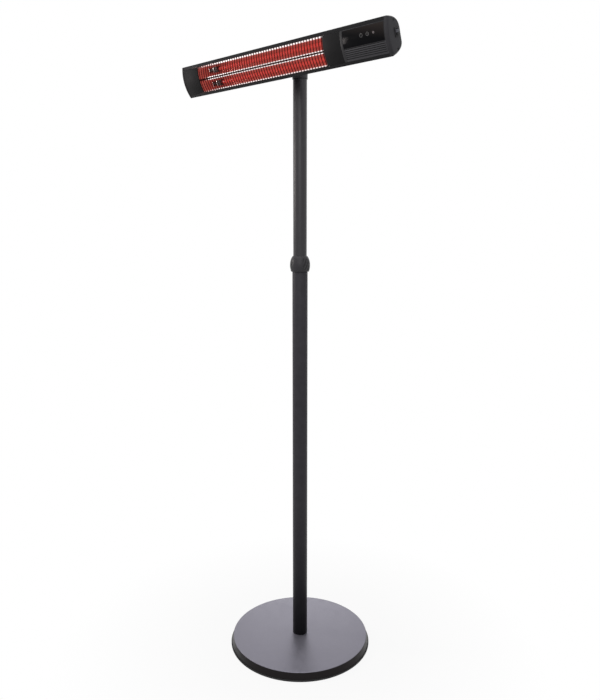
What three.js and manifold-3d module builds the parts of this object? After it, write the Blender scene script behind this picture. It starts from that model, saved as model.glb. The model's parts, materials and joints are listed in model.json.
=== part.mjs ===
// Infrared patio heater on a telescopic pole: round ballasted foot, two pole tubes with a
// twist-lock collar, and a long tilting head with two quartz lamps behind a wire guard.
// Millimetres, +Z up. The origin is the middle of the foot, on the ground.
// The head faces -Y and tips its face down; its control end is at +X.

import * as THREE from 'three';
import Module from 'manifold-3d';
import { mergeVertices } from 'three/addons/utils/BufferGeometryUtils.js';

const wasm = await Module();
wasm.setup();

// ---------------------------------------------------------------- clearances
const seatGap = 0.3; // between pieces that touch
const runGap = 0.4; // between pieces that slide or turn on each other
const past = 1; // cuts and joints run this far past a face

// ---------------------------------------------------------------- foot
const footSides = 48; // facets round the foot
const footRadius = 250; // flat top of the foot
const footFlare = 6; // the side wall leans out by this much at the ground
const footHeight = 31;
const footEdge = 3; // rounding of the top edge
const coverWall = 1.6;
const trimProud = 2; // rubber ring beyond the side wall
const trimHeight = 7;
const trimFloor = 3; // rubber under the rim
const trimWidth = 14;
const footEdgeSteps = 2;
const basePlateThickness = 2;
const ballastMargin = 8; // between ballast and side wall
const ballastPocketRadius = 30;
const ballastPocketDepth = 14;
const baseBoltRadius = 6;
const baseBoltHeadAcross = 19;
const baseBoltHeadHeight = 7.5;
const baseBoltGrip = 25; // thread length in the foot plug
const baseBoltRoom = 1; // around the bolt in the cover and the ballast
const washerRadius = 22;
const washerThickness = 3;
const basePlateHoleRadius = 26;
const baseScrewCount = 3;
const baseScrewInset = 50; // from the flat top's edge
const baseScrewRadius = 2.5;
const baseScrewHeadRadius = 4.5;
const baseScrewHeadHeight = 2.4;
const baseScrewLength = 14;

// ---------------------------------------------------------------- pole
const lowerTubeRadius = 26.5;
const lowerTubeWall = 1.5;
const lowerTubeLength = 1369;
const footPlugLength = 32;
const tubeClearance = 1.8; // upper tube inside the lower one, filled by the bush
const upperTubeWall = 1.5;
const upperTubeLength = 825;
const tubeOverlap = 167; // upper tube inside the lower one at the photographed height
const bushLength = 28;
const bushFlange = 3;

// ---------------------------------------------------------------- twist lock
const colletFlange = 4; // ring on the end of the lower tube
const colletSkirtWall = 2.4;
const colletSkirtLength = 13;
const colletFingerLength = 27;
const colletFingerRoot = 3.2; // finger wall at the ring
const colletFingerTip = 2.1; // finger wall at the end
const colletSlots = 6;
const colletSlotWidth = 2.4;
const colletSlotRoot = 2; // the slots stop this far above the ring
const collarOverhang = 3; // collar below the collet's skirt
const collarFootWall = 1.4;
const collarBulge = 4; // widest ring beyond the foot
const collarBellyHeight = 22; // widest ring above the collar's foot
const collarBellySteps = 6;
const collarShoulderDrop = 16; // the shoulder starts this far below the top
const collarShoulderPull = [0.4, 6.3]; // inside the foot's radius and below the top
const collarShoulderSteps = 5;
const collarRimLip = 1.2; // flat on top of the rim
const collarRimThickness = 6;

// ---------------------------------------------------------------- tilt joint
const pivotReach = 42; // pivot in front of the pole's axis
const tiltAngle = THREE.MathUtils.degToRad(20); // face tipped down from level
const capSleeveWall = 2;
const capSleeveLength = 43;
const capRise = 12; // solid top over the end of the tube, below the pivot
const capEdge = 2;
const earRadius = 12.5;
const earThickness = 5;
const earInside = 14.3; // half of the space between the ears
const knuckleRadius = 12;
const pivotBoltRadius = 4;
const pivotBoltHeadAcross = 13;
const pivotBoltHeadHeight = 5.3;
const bracketWidth = 120;
const bracketHeight = 26;
const bracketThickness = 4;
const bracketWebHeight = 16;
const bracketScrewInset = 10;
const bracketScrewRadius = 2.5;
const bracketScrewHeadRadius = 4.5;
const bracketScrewHeadHeight = 2.7;
const bracketScrewLength = 12;
const knobRadius = 14.5;
const knobLobe = 2;
const knobLobes = 5;
const knobThickness = 11;
const knobEdge = 1.5;
const knobLobeSteps = 8;
const knobHubRadius = 9;
const knobHubLength = 6;
const knobSocketDepth = 12;

// ---------------------------------------------------------------- head housing
const headLength = 894;
const chordHeight = 105; // height of the face, edge to edge
const faceBulge = 11.2; // the face stands this far in front of its edges
const headDepth = 51; // flat back behind the face's edges
const chordAhead = 81; // face's edges in front of the pivot
const chordRise = 4; // face's middle above the pivot
const housingWall = 2;
const shoulderReach = 36; // handles of the curve from the top edge to the back
const shoulderDrop = 4.5;
const shoulderFall = 25;
const backFlatTop = 12;
const heelReach = 34; // handles of the curve from the bottom edge to the back
const heelDrop = 5.5;
const heelFall = 16;
const backFlatBottom = -20;
const lipHeight = 9.5; // dark lip above and below the window
const endCapLength = 12;
const endCapEdge = 8;
const endCapWall = 4;
const spigotLength = 9;
const spigotWall = 2;
const portDepth = 24; // screw channels of the extrusion, behind the face's edges
const portInset = 14.5; // from the face's edges towards the middle
const portRadius = 4;
const portBore = 2.1;
const portWeb = 2;
const portClearance = 1; // other pieces around the screw channels
const endScrewHeadRadius = 3.6;
const endScrewHeadHeight = 2;
const endScrewLength = 16;

// ---------------------------------------------------------------- face, from left to right
const leftPlateLength = 74;
const rightPlateLength = 66;
const coverLength = 156; // control cover
const frontPlateWall = 4;
const frontPlateOverlap = 4; // flange behind the lips
const guardPitch = 11.5;
const guardWireRadius = 1.35;
const guardWireSides = 4;
const guardWireSteps = 4;
const guardRailWidth = 5;
const guardRailThickness = 2.8;
const guardRailShow = 1; // rail inside the lip's edge
const panelWidth = 144.5; // glossy touch panel
const panelHeight = 46.5;
const panelEndMargin = 2; // to the end cap
const panelLipMargin = 3; // to the upper lip
const panelThickness = 1.6;
const ribPitch = 5.4;
const ribGrooveWidth = 2.4;
const ribGrooveDepth = 1.3;
const ribGap = 2.3; // first groove below the panel
const ribFootMargin = 7; // smooth band above the lower lip
const receiverInset = 35; // from the panel's right and top edges
const receiverDrop = 21;
const receiverRadius = 3.4;
const receiverProud = 0.2;

// ---------------------------------------------------------------- lamps and reflectors
const lampDepth = 17; // lamp axis behind the face's edges
const ridgeHeight = -1; // ridge between the two troughs, from the face's middle
const lampRadius = 5.5;
const lampWall = 1;
const lampLeftInset = 85; // glowing length from the window's left end
const lampRightInset = 3;
const filamentRadius = 1.4;
const lampSocket = 8; // glass inside a ceramic block
const lampBlockLength = 20;
const lampBlockDepth = 15;
const lampBlockHeight = 18;
const lampNeckRadius = 5;
const clipLength = 23;
const clipThickness = 1.5;
const clipFootWidth = 5;
const clipLift = 1.2; // foot above the trough's lowest line
const clipShoulder = 11; // the uprights narrow over this depth, to clear the trough
const reflectorSheet = 1;
const reflectorReach = 35; // beyond the window's left end
const reflectorDepth = 36;
const reflectorMargin = 5; // trough's edge from the lip's edge
const troughSteps = 12;
const reflectorSlope = 6; // where the troughs start, behind the face's edges
const reflectorFlangeLap = 4.5; // flange behind the lips
const reflectorBend = 1.5;
const ridgeHalf = 5.4; // ridge's middle to the trough's edge
const ridgeStrip = [4.4, 2.8]; // flat strip of each trough, from the ridge's middle
const ridgeFront = 2;
const ridgeReturn = 6;
const partitionRoom = 1.7; // to the end of the lamps' necks
const partitionThickness = 2;

// ---------------------------------------------------------------- control bay
const boardThickness = 1.6;
const boardDepth = 6; // front of the board behind the face's edges
const boardMargin = 5;
const boardPostRadius = 3;
const relaySize = [26, 16, 20];
const tipSwitchSize = [14, 12, 16];
const terminalSize = [46, 12.5, 20];
const boardEndMargin = 9; // to the switch
const relayInset = 40; // from the panel's left edge
const tipSwitchInset = 90;
const terminalRoom = 29; // from the partition
const terminalPitch = 10; // between the two ways
const cutoutRadius = 8;
const cutoutThickness = 6;
const cutoutDepth = 27;
const glandInset = 50; // from the end of the housing
const glandThreadRadius = 8;
const glandHexAcross = 22;
const glandHexLength = 5;
const glandDomeRadius = 9.5;
const glandDomeLength = 13;
const glandDomeTaper = 5.2; // length and depth of its sloping end
const glandDomePull = 3;
const glandBore = 4;
const glandInside = 8;
const leadRadius = 1.5;
const leadRoom = 1; // around a lead in the partition
const leadRun = 6; // straight run at the ends of a lead
const linkHoleRadius = 4;
const linkHoleGap = 12; // from the clips
const linkBehind = 8; // link behind the troughs
const switchDepthAt = 30; // switch centre behind the face's edges
const switchHeightAt = 5;
const switchOpening = [15, 21];
const switchFlange = 2.5;
const switchFlangeThickness = 1.5;
const switchBodyLength = 20;
const switchWall = 1.2;
const switchFloor = 3;
const rockerPivotDepth = 3;
const rockerAngle = THREE.MathUtils.degToRad(10);
const rockerProud = 1.5;
const rockerEndRoom = 1.2;
const rockerKeel = 3;
const rockerAxleRadius = 1.2;

// ---------------------------------------------------------------- derived places
const trimRadius = footRadius + footFlare + trimProud;
const coverUnderside = footHeight - coverWall;
const basePlateTop = trimFloor + basePlateThickness;
const ballastRadius = footRadius - coverWall - ballastMargin;
const ballastPocketTop = basePlateTop + ballastPocketDepth;
const baseScrewCircle = footRadius - baseScrewInset;
const lowerTubeTop = footHeight + lowerTubeLength;
const upperTubeRadius = lowerTubeRadius - lowerTubeWall - tubeClearance;
const upperTubeFoot = lowerTubeTop - tubeOverlap;
const upperTubeTop = upperTubeFoot + upperTubeLength;
const pivotHeight = upperTubeTop + capRise;
const capSleeveRadius = upperTubeRadius + seatGap + capSleeveWall;
const colletTop = lowerTubeTop + colletFlange + colletFingerLength;
const colletSkirtRadius = lowerTubeRadius + seatGap + colletSkirtWall;
const collarFoot = lowerTubeTop - colletSkirtLength - collarOverhang;
const collarHeight = colletTop + seatGap + collarRimThickness - collarFoot;
const collarFootRadius = colletSkirtRadius + runGap + collarFootWall;
const housingHalf = headLength / 2 - endCapLength;
const faceRadius = ((chordHeight / 2) ** 2 + faceBulge ** 2) / (2 * faceBulge);
const faceCentre = faceRadius - faceBulge;
const lipEdge = chordHeight / 2 - lipHeight;
const plateInset = housingWall + seatGap; // behind the lips
const guardBack = plateInset + guardRailThickness;
const capFace = headLength / 2;
const portHeight = chordHeight / 2 - portInset;
const seamAt = housingHalf - coverLength; // right front plate to control cover
const windowLeft = leftPlateLength - housingHalf;
const windowRight = seamAt - rightPlateLength;
const panelRight = housingHalf - panelEndMargin;
const panelLeft = panelRight - panelWidth;
const panelTop = lipEdge - panelLipMargin;
const panelBottom = panelTop - panelHeight;
const ribTop = panelBottom - ribGap;
const ribGrooves = Math.floor((ribTop + lipEdge - ribFootMargin) / ribPitch) + 1;
const receiverAt = panelRight - receiverInset;
const receiverHeight = panelTop - receiverDrop;
const lampLeft = windowLeft + lampLeftInset;
const lampRight = windowRight - lampRightInset;
const reflectorLeft = windowLeft - reflectorReach;
const reflectorHalfOpening = (lipEdge - reflectorMargin - ridgeHalf) / 2;
const lampOffset = ridgeHalf + reflectorHalfOpening; // lamp axes from the ridge
const lampNeckLength = clipLength + seatGap;
const partitionAt = lampRight + lampBlockLength + lampNeckLength + partitionRoom;
const partitionEnd = partitionAt + partitionThickness;
const linkHoleAt = lampLeft - lampBlockLength - clipLength - linkHoleGap;
const boardRight = capFace - switchBodyLength - boardEndMargin;
const terminalAt = partitionEnd + terminalRoom + terminalSize[0] / 2;
const glandAt = housingHalf - glandInset;

// ---------------------------------------------------------------- finishes
function finish(color, roughness, metalness) {
  return new THREE.MeshStandardMaterial({ color, roughness, metalness });
}

const finishes = {
  powderCoat: finish(0x3a3a3f, 0.5, 0.3),
  footTop: finish(0x8c8b92, 0.45, 0.4),
  rubber: finish(0x17171a, 0.8, 0),
  blackPlastic: finish(0x2a2a2d, 0.55, 0),
  charcoal: finish(0x35373a, 0.5, 0.1),
  gloss: finish(0x0c0c10, 0.08, 0),
  steel: finish(0x9a9ca0, 0.35, 1),
  mirror: finish(0xd8d8da, 0.12, 1),
  castStone: finish(0x8a8780, 0.9, 0),
  glass: finish(0xc8201a, 0.1, 0),
  filament: finish(0xff5a20, 0.5, 0.5),
  ceramic: finish(0x4a4642, 0.7, 0),
  board: finish(0x1f5c34, 0.6, 0),
  cream: finish(0xd9d4c4, 0.6, 0),
  lens: finish(0x5a4a4c, 0.2, 0),
};

// ---------------------------------------------------------------- solids
function toSolid(geometry) {
  const bare = geometry.clone();
  bare.deleteAttribute('normal');
  bare.deleteAttribute('uv');
  const merged = mergeVertices(bare, 1e-3);
  const corners = merged.index.array;
  const triVerts = [];
  for (let corner = 0; corner < corners.length; corner += 3) {
    const [a, b, c] = corners.slice(corner, corner + 3);
    if (a !== b && b !== c && c !== a) triVerts.push(a, b, c);
  }
  return new wasm.Manifold(new wasm.Mesh({
    numProp: 3,
    vertProperties: merged.attributes.position.array,
    triVerts: Uint32Array.from(triVerts),
  }));
}

function toGeometry(solid) {
  const mesh = solid.getMesh();
  const geometry = new THREE.BufferGeometry();
  geometry.setAttribute('position', new THREE.BufferAttribute(mesh.vertProperties, 3));
  geometry.setIndex(new THREE.BufferAttribute(mesh.triVerts, 1));
  geometry.computeVertexNormals();
  return geometry;
}

function combine(first, joined, removed = []) {
  let solid = toSolid(first);
  for (const geometry of joined) solid = solid.add(toSolid(geometry));
  for (const geometry of removed) solid = solid.subtract(toSolid(geometry));
  return toGeometry(solid);
}

// Closed ring profile of [radius, height] pairs, turned about Z.
function revolved(profile, segments = 28) {
  const points = profile.map(([radius, height]) => new THREE.Vector2(radius, height));
  if (THREE.ShapeUtils.area(points) < 0) points.reverse();
  points.push(points[0].clone());
  const geometry = new THREE.LatheGeometry(points, segments);
  geometry.rotateX(Math.PI / 2);
  return geometry;
}

function ring(outer, inner, low, high, segments = 28) {
  return revolved([[inner, low], [outer, low], [outer, high], [inner, high]], segments);
}

function rod(radius, low, high, segments = 20) {
  const geometry = new THREE.CylinderGeometry(radius, radius, high - low, segments);
  geometry.rotateX(Math.PI / 2);
  geometry.translate(0, 0, (low + high) / 2);
  return geometry;
}

function hexRod(across, low, high) {
  return rod(across / Math.sqrt(3), low, high, 6);
}

function box(low, high) {
  const size = high.map((value, axis) => value - low[axis]);
  const geometry = new THREE.BoxGeometry(...size);
  geometry.translate(...low.map((value, axis) => value + size[axis] / 2));
  return geometry;
}

// Turns a geometry made along Z so that it lies along X or runs towards +Y.
function alongX(geometry, y = 0, z = 0) {
  geometry.rotateY(Math.PI / 2);
  geometry.translate(0, y, z);
  return geometry;
}

function alongY(geometry, x = 0, z = 0) {
  geometry.rotateX(-Math.PI / 2);
  geometry.translate(x, 0, z);
  return geometry;
}

// A section drawn in the head's side view (depth, height), run along X.
function sectionX(shape, left, right, steps = 6) {
  const geometry = new THREE.ExtrudeGeometry(shape, {
    depth: right - left,
    bevelEnabled: false,
    curveSegments: steps,
  });
  return sideToX(geometry).translate(left, 0, 0);
}

function sideToX(geometry) {
  const turn = new THREE.Matrix4().makeBasis(
    new THREE.Vector3(0, 1, 0),
    new THREE.Vector3(0, 0, 1),
    new THREE.Vector3(1, 0, 0),
  );
  return geometry.applyMatrix4(turn);
}

function polygon(points) {
  return new THREE.Shape(points.map(([x, y]) => new THREE.Vector2(x, y)));
}

function circleOutline(radius, sides) {
  const points = [];
  for (let side = 0; side < sides; side += 1) {
    const angle = (side / sides) * 2 * Math.PI;
    points.push([radius * Math.cos(angle), radius * Math.sin(angle)]);
  }
  return polygon(points);
}

function tube(points, radius, sides, steps) {
  const path = new THREE.CatmullRomCurve3(points.map((point) => new THREE.Vector3(...point)));
  return new THREE.ExtrudeGeometry(circleOutline(radius, sides), { extrudePath: path, steps });
}

function piece(parent, name, geometry, material) {
  const mesh = new THREE.Mesh(geometry, material);
  mesh.name = name;
  parent.add(mesh);
  return mesh;
}

// ---------------------------------------------------------------- foot
function footCover() {
  const outerFoot = footRadius + footFlare;
  const edge = [];
  for (let step = 0; step <= footEdgeSteps; step += 1) {
    const angle = (step / footEdgeSteps) * (Math.PI / 2);
    edge.push([
      footRadius - footEdge + footEdge * Math.cos(angle),
      footHeight - footEdge + footEdge * Math.sin(angle),
    ]);
  }
  return revolved([
    [outerFoot - coverWall, trimFloor],
    [outerFoot, trimFloor],
    [outerFoot, trimHeight],
    ...edge,
    [baseBoltRadius + baseBoltRoom, footHeight],
    [baseBoltRadius + baseBoltRoom, coverUnderside],
    [footRadius - footEdge, coverUnderside],
    [outerFoot - coverWall, trimHeight],
  ], footSides);
}

function edgeTrim() {
  const wallInside = footRadius + footFlare + seatGap;
  return revolved([
    [trimRadius - trimWidth, 0],
    [trimRadius, 0],
    [trimRadius, trimHeight],
    [wallInside, trimHeight],
    [wallInside, trimFloor],
    [trimRadius - trimWidth, trimFloor],
  ], footSides);
}

function baseScrewPlaces() {
  const places = [];
  for (let screw = 0; screw < baseScrewCount; screw += 1) {
    const angle = (screw / baseScrewCount) * 2 * Math.PI + Math.PI / 2;
    places.push([baseScrewCircle * Math.cos(angle), baseScrewCircle * Math.sin(angle)]);
  }
  return places;
}

function addFoot(parent) {
  const screwHoles = (low, high, radius) => baseScrewPlaces().map(
    ([x, y]) => rod(radius, low, high, 12).translate(x, y, 0),
  );
  piece(parent, 'base_cover', footCover(), finishes.footTop);
  piece(parent, 'base_edge_trim', edgeTrim(), finishes.rubber);

  const plateRadius = footRadius + footFlare - coverWall - seatGap;
  const plate = ring(plateRadius, basePlateHoleRadius, trimFloor, basePlateTop, footSides);
  const plateHoles = screwHoles(trimFloor - past, basePlateTop + past, baseScrewRadius + seatGap);
  piece(parent, 'base_plate', combine(plate, [], plateHoles), finishes.steel);

  const ballast = revolved([
    [ballastPocketRadius, basePlateTop],
    [ballastRadius, basePlateTop],
    [ballastRadius, coverUnderside],
    [baseBoltRadius + baseBoltRoom, coverUnderside],
    [baseBoltRadius + baseBoltRoom, ballastPocketTop],
    [ballastPocketRadius, ballastPocketTop],
  ], footSides);
  const screwEnd = trimFloor + baseScrewLength;
  const ballastHoles = screwHoles(basePlateTop - past, screwEnd + past,
    baseScrewRadius + seatGap);
  piece(parent, 'ballast_disc', combine(ballast, [], ballastHoles), finishes.castStone);

  baseScrewPlaces().forEach(([x, y], index) => {
    const head = rod(baseScrewHeadRadius, trimFloor - baseScrewHeadHeight, trimFloor, 12);
    const shank = rod(baseScrewRadius, trimFloor - past, screwEnd, 12);
    const screw = combine(head, [shank]).translate(x, y, 0);
    piece(parent, `base_screw_${index + 1}`, screw, finishes.steel);
  });

  const washerFoot = ballastPocketTop - washerThickness;
  const washer = ring(washerRadius, baseBoltRadius + seatGap, washerFoot, ballastPocketTop);
  piece(parent, 'base_washer', washer, finishes.steel);

  const boltTop = footHeight + baseBoltGrip;
  const boltHead = hexRod(baseBoltHeadAcross, washerFoot - baseBoltHeadHeight, washerFoot);
  const boltShank = rod(baseBoltRadius, washerFoot - past, boltTop, 16);
  piece(parent, 'base_bolt', combine(boltHead, [boltShank]), finishes.steel);
}

// ---------------------------------------------------------------- lower pole
function addLowerPole(parent) {
  const bore = lowerTubeRadius - lowerTubeWall;
  piece(parent, 'lower_tube', ring(lowerTubeRadius, bore, footHeight, lowerTubeTop, 32),
    finishes.powderCoat);

  const plug = rod(bore - seatGap, footHeight, footHeight + footPlugLength, 32);
  const thread = rod(baseBoltRadius + seatGap, footHeight - past,
    footHeight + baseBoltGrip + past, 16);
  piece(parent, 'tube_foot_plug', combine(plug, [], [thread]), finishes.steel);
  piece(parent, 'collet', colletGeometry(), finishes.blackPlastic);
}

function colletGeometry() {
  const bore = upperTubeRadius + runGap;
  const skirtBore = lowerTubeRadius + seatGap;
  const seat = lowerTubeTop + seatGap;
  const ringTop = seat + colletFlange;
  const body = revolved([
    [bore, seat],
    [skirtBore, seat],
    [skirtBore, lowerTubeTop - colletSkirtLength],
    [colletSkirtRadius, lowerTubeTop - colletSkirtLength],
    [colletSkirtRadius, ringTop],
    [bore + colletFingerRoot, ringTop],
    [bore + colletFingerTip, colletTop],
    [bore, colletTop],
  ], 24);
  const slots = [];
  for (let slot = 0; slot < colletSlots / 2; slot += 1) {
    const half = colletSlotWidth / 2;
    const low = [-colletSkirtRadius, -half, ringTop + colletSlotRoot];
    const high = [colletSkirtRadius, half, colletTop + past];
    slots.push(box(low, high).rotateZ((slot / colletSlots) * 2 * Math.PI));
  }
  return combine(body, [], slots);
}

// ---------------------------------------------------------------- lock collar
function collarGeometry() {
  const bellyRadius = collarFootRadius + collarBulge;
  const bellyArc = (collarBellyHeight ** 2 + collarBulge ** 2) / (2 * collarBulge);
  const outside = [];
  for (let step = 0; step <= collarBellySteps; step += 1) {
    const height = (step / collarBellySteps) * (collarHeight - collarShoulderDrop);
    const away = height - collarBellyHeight;
    const radius = bellyRadius - bellyArc + Math.sqrt(bellyArc ** 2 - away ** 2);
    outside.push([radius, height]);
  }
  const [startRadius, startHeight] = outside[outside.length - 1];
  const bore = upperTubeRadius + runGap;
  const [pullIn, pullDown] = collarShoulderPull;
  const shoulder = new THREE.QuadraticBezierCurve(
    new THREE.Vector2(startRadius, startHeight),
    new THREE.Vector2(collarFootRadius - pullIn, collarHeight - pullDown),
    new THREE.Vector2(bore + collarRimLip, collarHeight),
  );
  for (const point of shoulder.getPoints(collarShoulderSteps).slice(1)) {
    outside.push([point.x, point.y]);
  }

  const ringTop = lowerTubeTop + seatGap + colletFlange - collarFoot;
  const rimFoot = collarHeight - collarRimThickness;
  const inside = [
    [bore, collarHeight],
    [bore, rimFoot],
    [bore + colletFingerTip + runGap, rimFoot],
    [bore + colletFingerRoot + runGap, ringTop + seatGap],
    [colletSkirtRadius + runGap, ringTop + seatGap],
    [colletSkirtRadius + runGap, 0],
  ];
  return revolved([...outside, ...inside], 30).translate(0, 0, collarFoot);
}

// ---------------------------------------------------------------- mast
function addMast(parent) {
  const bore = upperTubeRadius - upperTubeWall;
  piece(parent, 'upper_tube', ring(upperTubeRadius, bore, upperTubeFoot, upperTubeTop, 32),
    finishes.powderCoat);

  const bushRadius = lowerTubeRadius - lowerTubeWall - runGap;
  const bushBore = upperTubeRadius + seatGap;
  const bush = revolved([
    [bore, upperTubeFoot - bushFlange],
    [bushRadius, upperTubeFoot - bushFlange],
    [bushRadius, upperTubeFoot + bushLength],
    [bushBore, upperTubeFoot + bushLength],
    [bushBore, upperTubeFoot - seatGap],
    [bore, upperTubeFoot - seatGap],
  ], 24);
  piece(parent, 'slide_bush', bush, finishes.cream);
  piece(parent, 'mast_cap', mastCap(), finishes.powderCoat);

  const headStart = -earInside - earThickness;
  const boltHead = hexRod(pivotBoltHeadAcross, headStart - pivotBoltHeadHeight, headStart);
  const shankEnd = earInside + earThickness + knobSocketDepth - seatGap;
  const shank = rod(pivotBoltRadius, headStart - past, shankEnd, 20);
  const bolt = alongX(combine(boltHead, [shank]), -pivotReach, pivotHeight);
  piece(parent, 'tilt_bolt', bolt, finishes.steel);
}

function mastCap() {
  const sleeveFoot = upperTubeTop - capSleeveLength;
  const capTop = pivotHeight + earRadius;
  const body = revolved([
    [0, sleeveFoot],
    [capSleeveRadius, sleeveFoot],
    [capSleeveRadius, capTop - capEdge],
    [capSleeveRadius - capEdge, capTop],
    [0, capTop],
  ], 32);
  const ears = [-earInside - earThickness, earInside].map((left) => {
    const arm = box(
      [left, -pivotReach, pivotHeight - earRadius],
      [left + earThickness, 0, pivotHeight + earRadius],
    );
    const round = alongX(rod(earRadius, left, left + earThickness, 28), -pivotReach, pivotHeight);
    return [arm, round];
  }).flat();
  const reach = earInside + earThickness + past;
  const pin = alongX(rod(pivotBoltRadius + runGap, -reach, reach, 20), -pivotReach, pivotHeight);
  const socket = rod(upperTubeRadius + seatGap, sleeveFoot - past, upperTubeTop + seatGap, 32);
  return combine(body, ears, [pin, socket]);
}

function knobGeometry() {
  const outline = [];
  const steps = knobLobes * knobLobeSteps;
  for (let step = 0; step < steps; step += 1) {
    const angle = (step / steps) * 2 * Math.PI;
    const radius = knobRadius + knobLobe * Math.cos(knobLobes * angle);
    outline.push([radius * Math.cos(angle), radius * Math.sin(angle)]);
  }
  const hubStart = earInside + earThickness + seatGap;
  const gripStart = hubStart + knobHubLength;
  const grip = new THREE.ExtrudeGeometry(polygon(outline), {
    depth: knobThickness - 2 * knobEdge,
    bevelEnabled: true,
    bevelThickness: knobEdge,
    bevelSize: knobEdge,
    bevelOffset: -knobEdge,
    bevelSegments: 2,
  }).translate(0, 0, gripStart + knobEdge);
  const hub = rod(knobHubRadius, hubStart, gripStart + past, 28);
  const socket = rod(
    pivotBoltRadius + seatGap,
    hubStart - past,
    earInside + earThickness + knobSocketDepth,
    20,
  );
  return alongX(combine(grip, [hub], [socket]), -pivotReach, pivotHeight);
}

// ---------------------------------------------------------------- head sections
// Side view of the head: x is depth behind the face's edges, y is height. The face is an arc.
function faceDepth(height, inset = 0) {
  return faceCentre - Math.sqrt((faceRadius - inset) ** 2 - height ** 2);
}

function headOutline(inset) {
  const half = chordHeight / 2 - inset;
  const back = headDepth - inset;
  const edge = faceDepth(half, inset);
  const spread = Math.asin(half / (faceRadius - inset));
  const shape = new THREE.Shape();
  shape.moveTo(edge, half);
  shape.bezierCurveTo(edge + shoulderReach, half - shoulderDrop, back,
    backFlatTop + shoulderFall - inset, back, backFlatTop);
  shape.lineTo(back, backFlatBottom);
  shape.bezierCurveTo(back, backFlatBottom - heelFall + inset, edge + heelReach,
    heelDrop - half, edge, -half);
  shape.absarc(faceCentre, 0, faceRadius - inset, Math.PI + spread, Math.PI - spread, true);
  return shape;
}

function shellOutline(outerInset, wall) {
  const shape = headOutline(outerInset);
  const inside = headOutline(outerInset + wall).getPoints(6).reverse();
  shape.holes.push(new THREE.Path(inside));
  return shape;
}

// Strip that follows the face from one height to another, between two insets.
function faceStrip(low, high, front, back) {
  const shape = new THREE.Shape();
  const angleAt = (height, inset) => Math.PI - Math.asin(height / (faceRadius - inset));
  shape.absarc(faceCentre, 0, faceRadius - front, angleAt(low, front), angleAt(high, front), true);
  shape.absarc(faceCentre, 0, faceRadius - back, angleAt(high, back), angleAt(low, back), false);
  return shape;
}

// ---------------------------------------------------------------- housing and its ends
// Webs that tie the two screw channels to the shell above and below them.
function portWebs(left, right) {
  return [1, -1].map((side) => {
    const near = side * (portHeight - portRadius);
    const far = side * (chordHeight / 2 - housingWall / 2);
    return box(
      [left, portDepth - portWeb / 2, Math.min(near, far)],
      [right, portDepth + portWeb / 2, Math.max(near, far)],
    );
  });
}

// Room around both screw channels, out to the shell, in a piece that fits inside the housing.
function portRooms(left, right) {
  const room = portRadius + portClearance;
  return [1, -1].map((side) => {
    const near = side * (portHeight - room);
    const far = side * chordHeight;
    return box(
      [left, portDepth - room, Math.min(near, far)],
      [right, portDepth + room, Math.max(near, far)],
    );
  });
}

function atPorts(make) {
  return [1, -1].map((side) => alongX(make(), portDepth, side * portHeight));
}

function housingGeometry() {
  const left = -housingHalf;
  const right = housingHalf;
  const shell = sectionX(shellOutline(0, housingWall), left, right);
  const mouth = box([left - past, -faceBulge - past, -lipEdge], [right + past, past, lipEdge]);
  const ports = atPorts(() => rod(portRadius, left, right, 16));
  const bores = atPorts(() => rod(portBore, left - past, right + past, 12));
  const outside = toSolid(sectionX(headOutline(0), left, right));
  const webs = portWebs(left, right).map((web) => toGeometry(toSolid(web).intersect(outside)));
  const wallIn = headDepth - housingWall - past;
  const wallOut = headDepth + past;
  const gland = alongY(rod(glandThreadRadius + seatGap, wallIn, wallOut), glandAt, -chordRise);
  const screwHoles = bracketScrewPlaces().map(
    (x) => alongY(rod(bracketScrewRadius + seatGap, wallIn, wallOut, 12), x, -chordRise),
  );
  return combine(shell, [...ports, ...webs], [mouth, ...bores, gland, ...screwHoles]);
}

function bracketScrewPlaces() {
  const reach = bracketWidth / 2 - bracketScrewInset;
  return [-reach, reach];
}

// Right-hand end cap; the left one is its mirror image without the switch opening.
function endCap(withSwitch) {
  const rounded = sideToX(new THREE.ExtrudeGeometry(headOutline(0), {
    depth: endCapLength,
    curveSegments: 6,
    bevelEnabled: true,
    bevelThickness: endCapEdge,
    bevelSize: endCapEdge,
    bevelOffset: -endCapEdge,
    bevelSegments: 2,
  })).translate(capFace - endCapLength - endCapEdge, 0, 0);
  const inner = housingHalf;
  const spigotEnd = inner - spigotLength;
  const wide = headDepth + chordHeight;
  const behind = box([inner - wide, -wide, -wide], [inner, wide, wide]);
  const hollow = sectionX(headOutline(endCapWall), inner - past, capFace - endCapWall);
  const spigotOutline = shellOutline(housingWall + seatGap, spigotWall);
  const spigot = sectionX(spigotOutline, spigotEnd, inner + past);
  const faceRoom = box(
    [spigotEnd - past, -wide, -wide],
    [inner, frontPlateWall + spigotWall, wide],
  );
  const screwPosts = atPorts(() => rod(portRadius + portClearance, inner, capFace - past, 16));
  const screwHoles = atPorts(() => rod(portBore + seatGap, inner - past, capFace + past, 12));
  const headSinks = atPorts(
    () => rod(endScrewHeadRadius + seatGap, capFace - endScrewHeadHeight, capFace + past, 20),
  );
  const [openDepth, openHeight] = switchOpening;
  const opening = box(
    [inner - past, switchDepthAt - openDepth / 2, switchHeightAt - openHeight / 2],
    [capFace + past, switchDepthAt + openDepth / 2, switchHeightAt + openHeight / 2],
  );
  const shell = combine(rounded, [], [behind, hollow]);
  const plug = combine(spigot, [], [faceRoom, ...portRooms(spigotEnd - past, inner)]);
  const cuts = [...screwHoles, ...headSinks];
  if (withSwitch) cuts.push(opening);
  return combine(shell, [plug, ...screwPosts], cuts);
}

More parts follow.
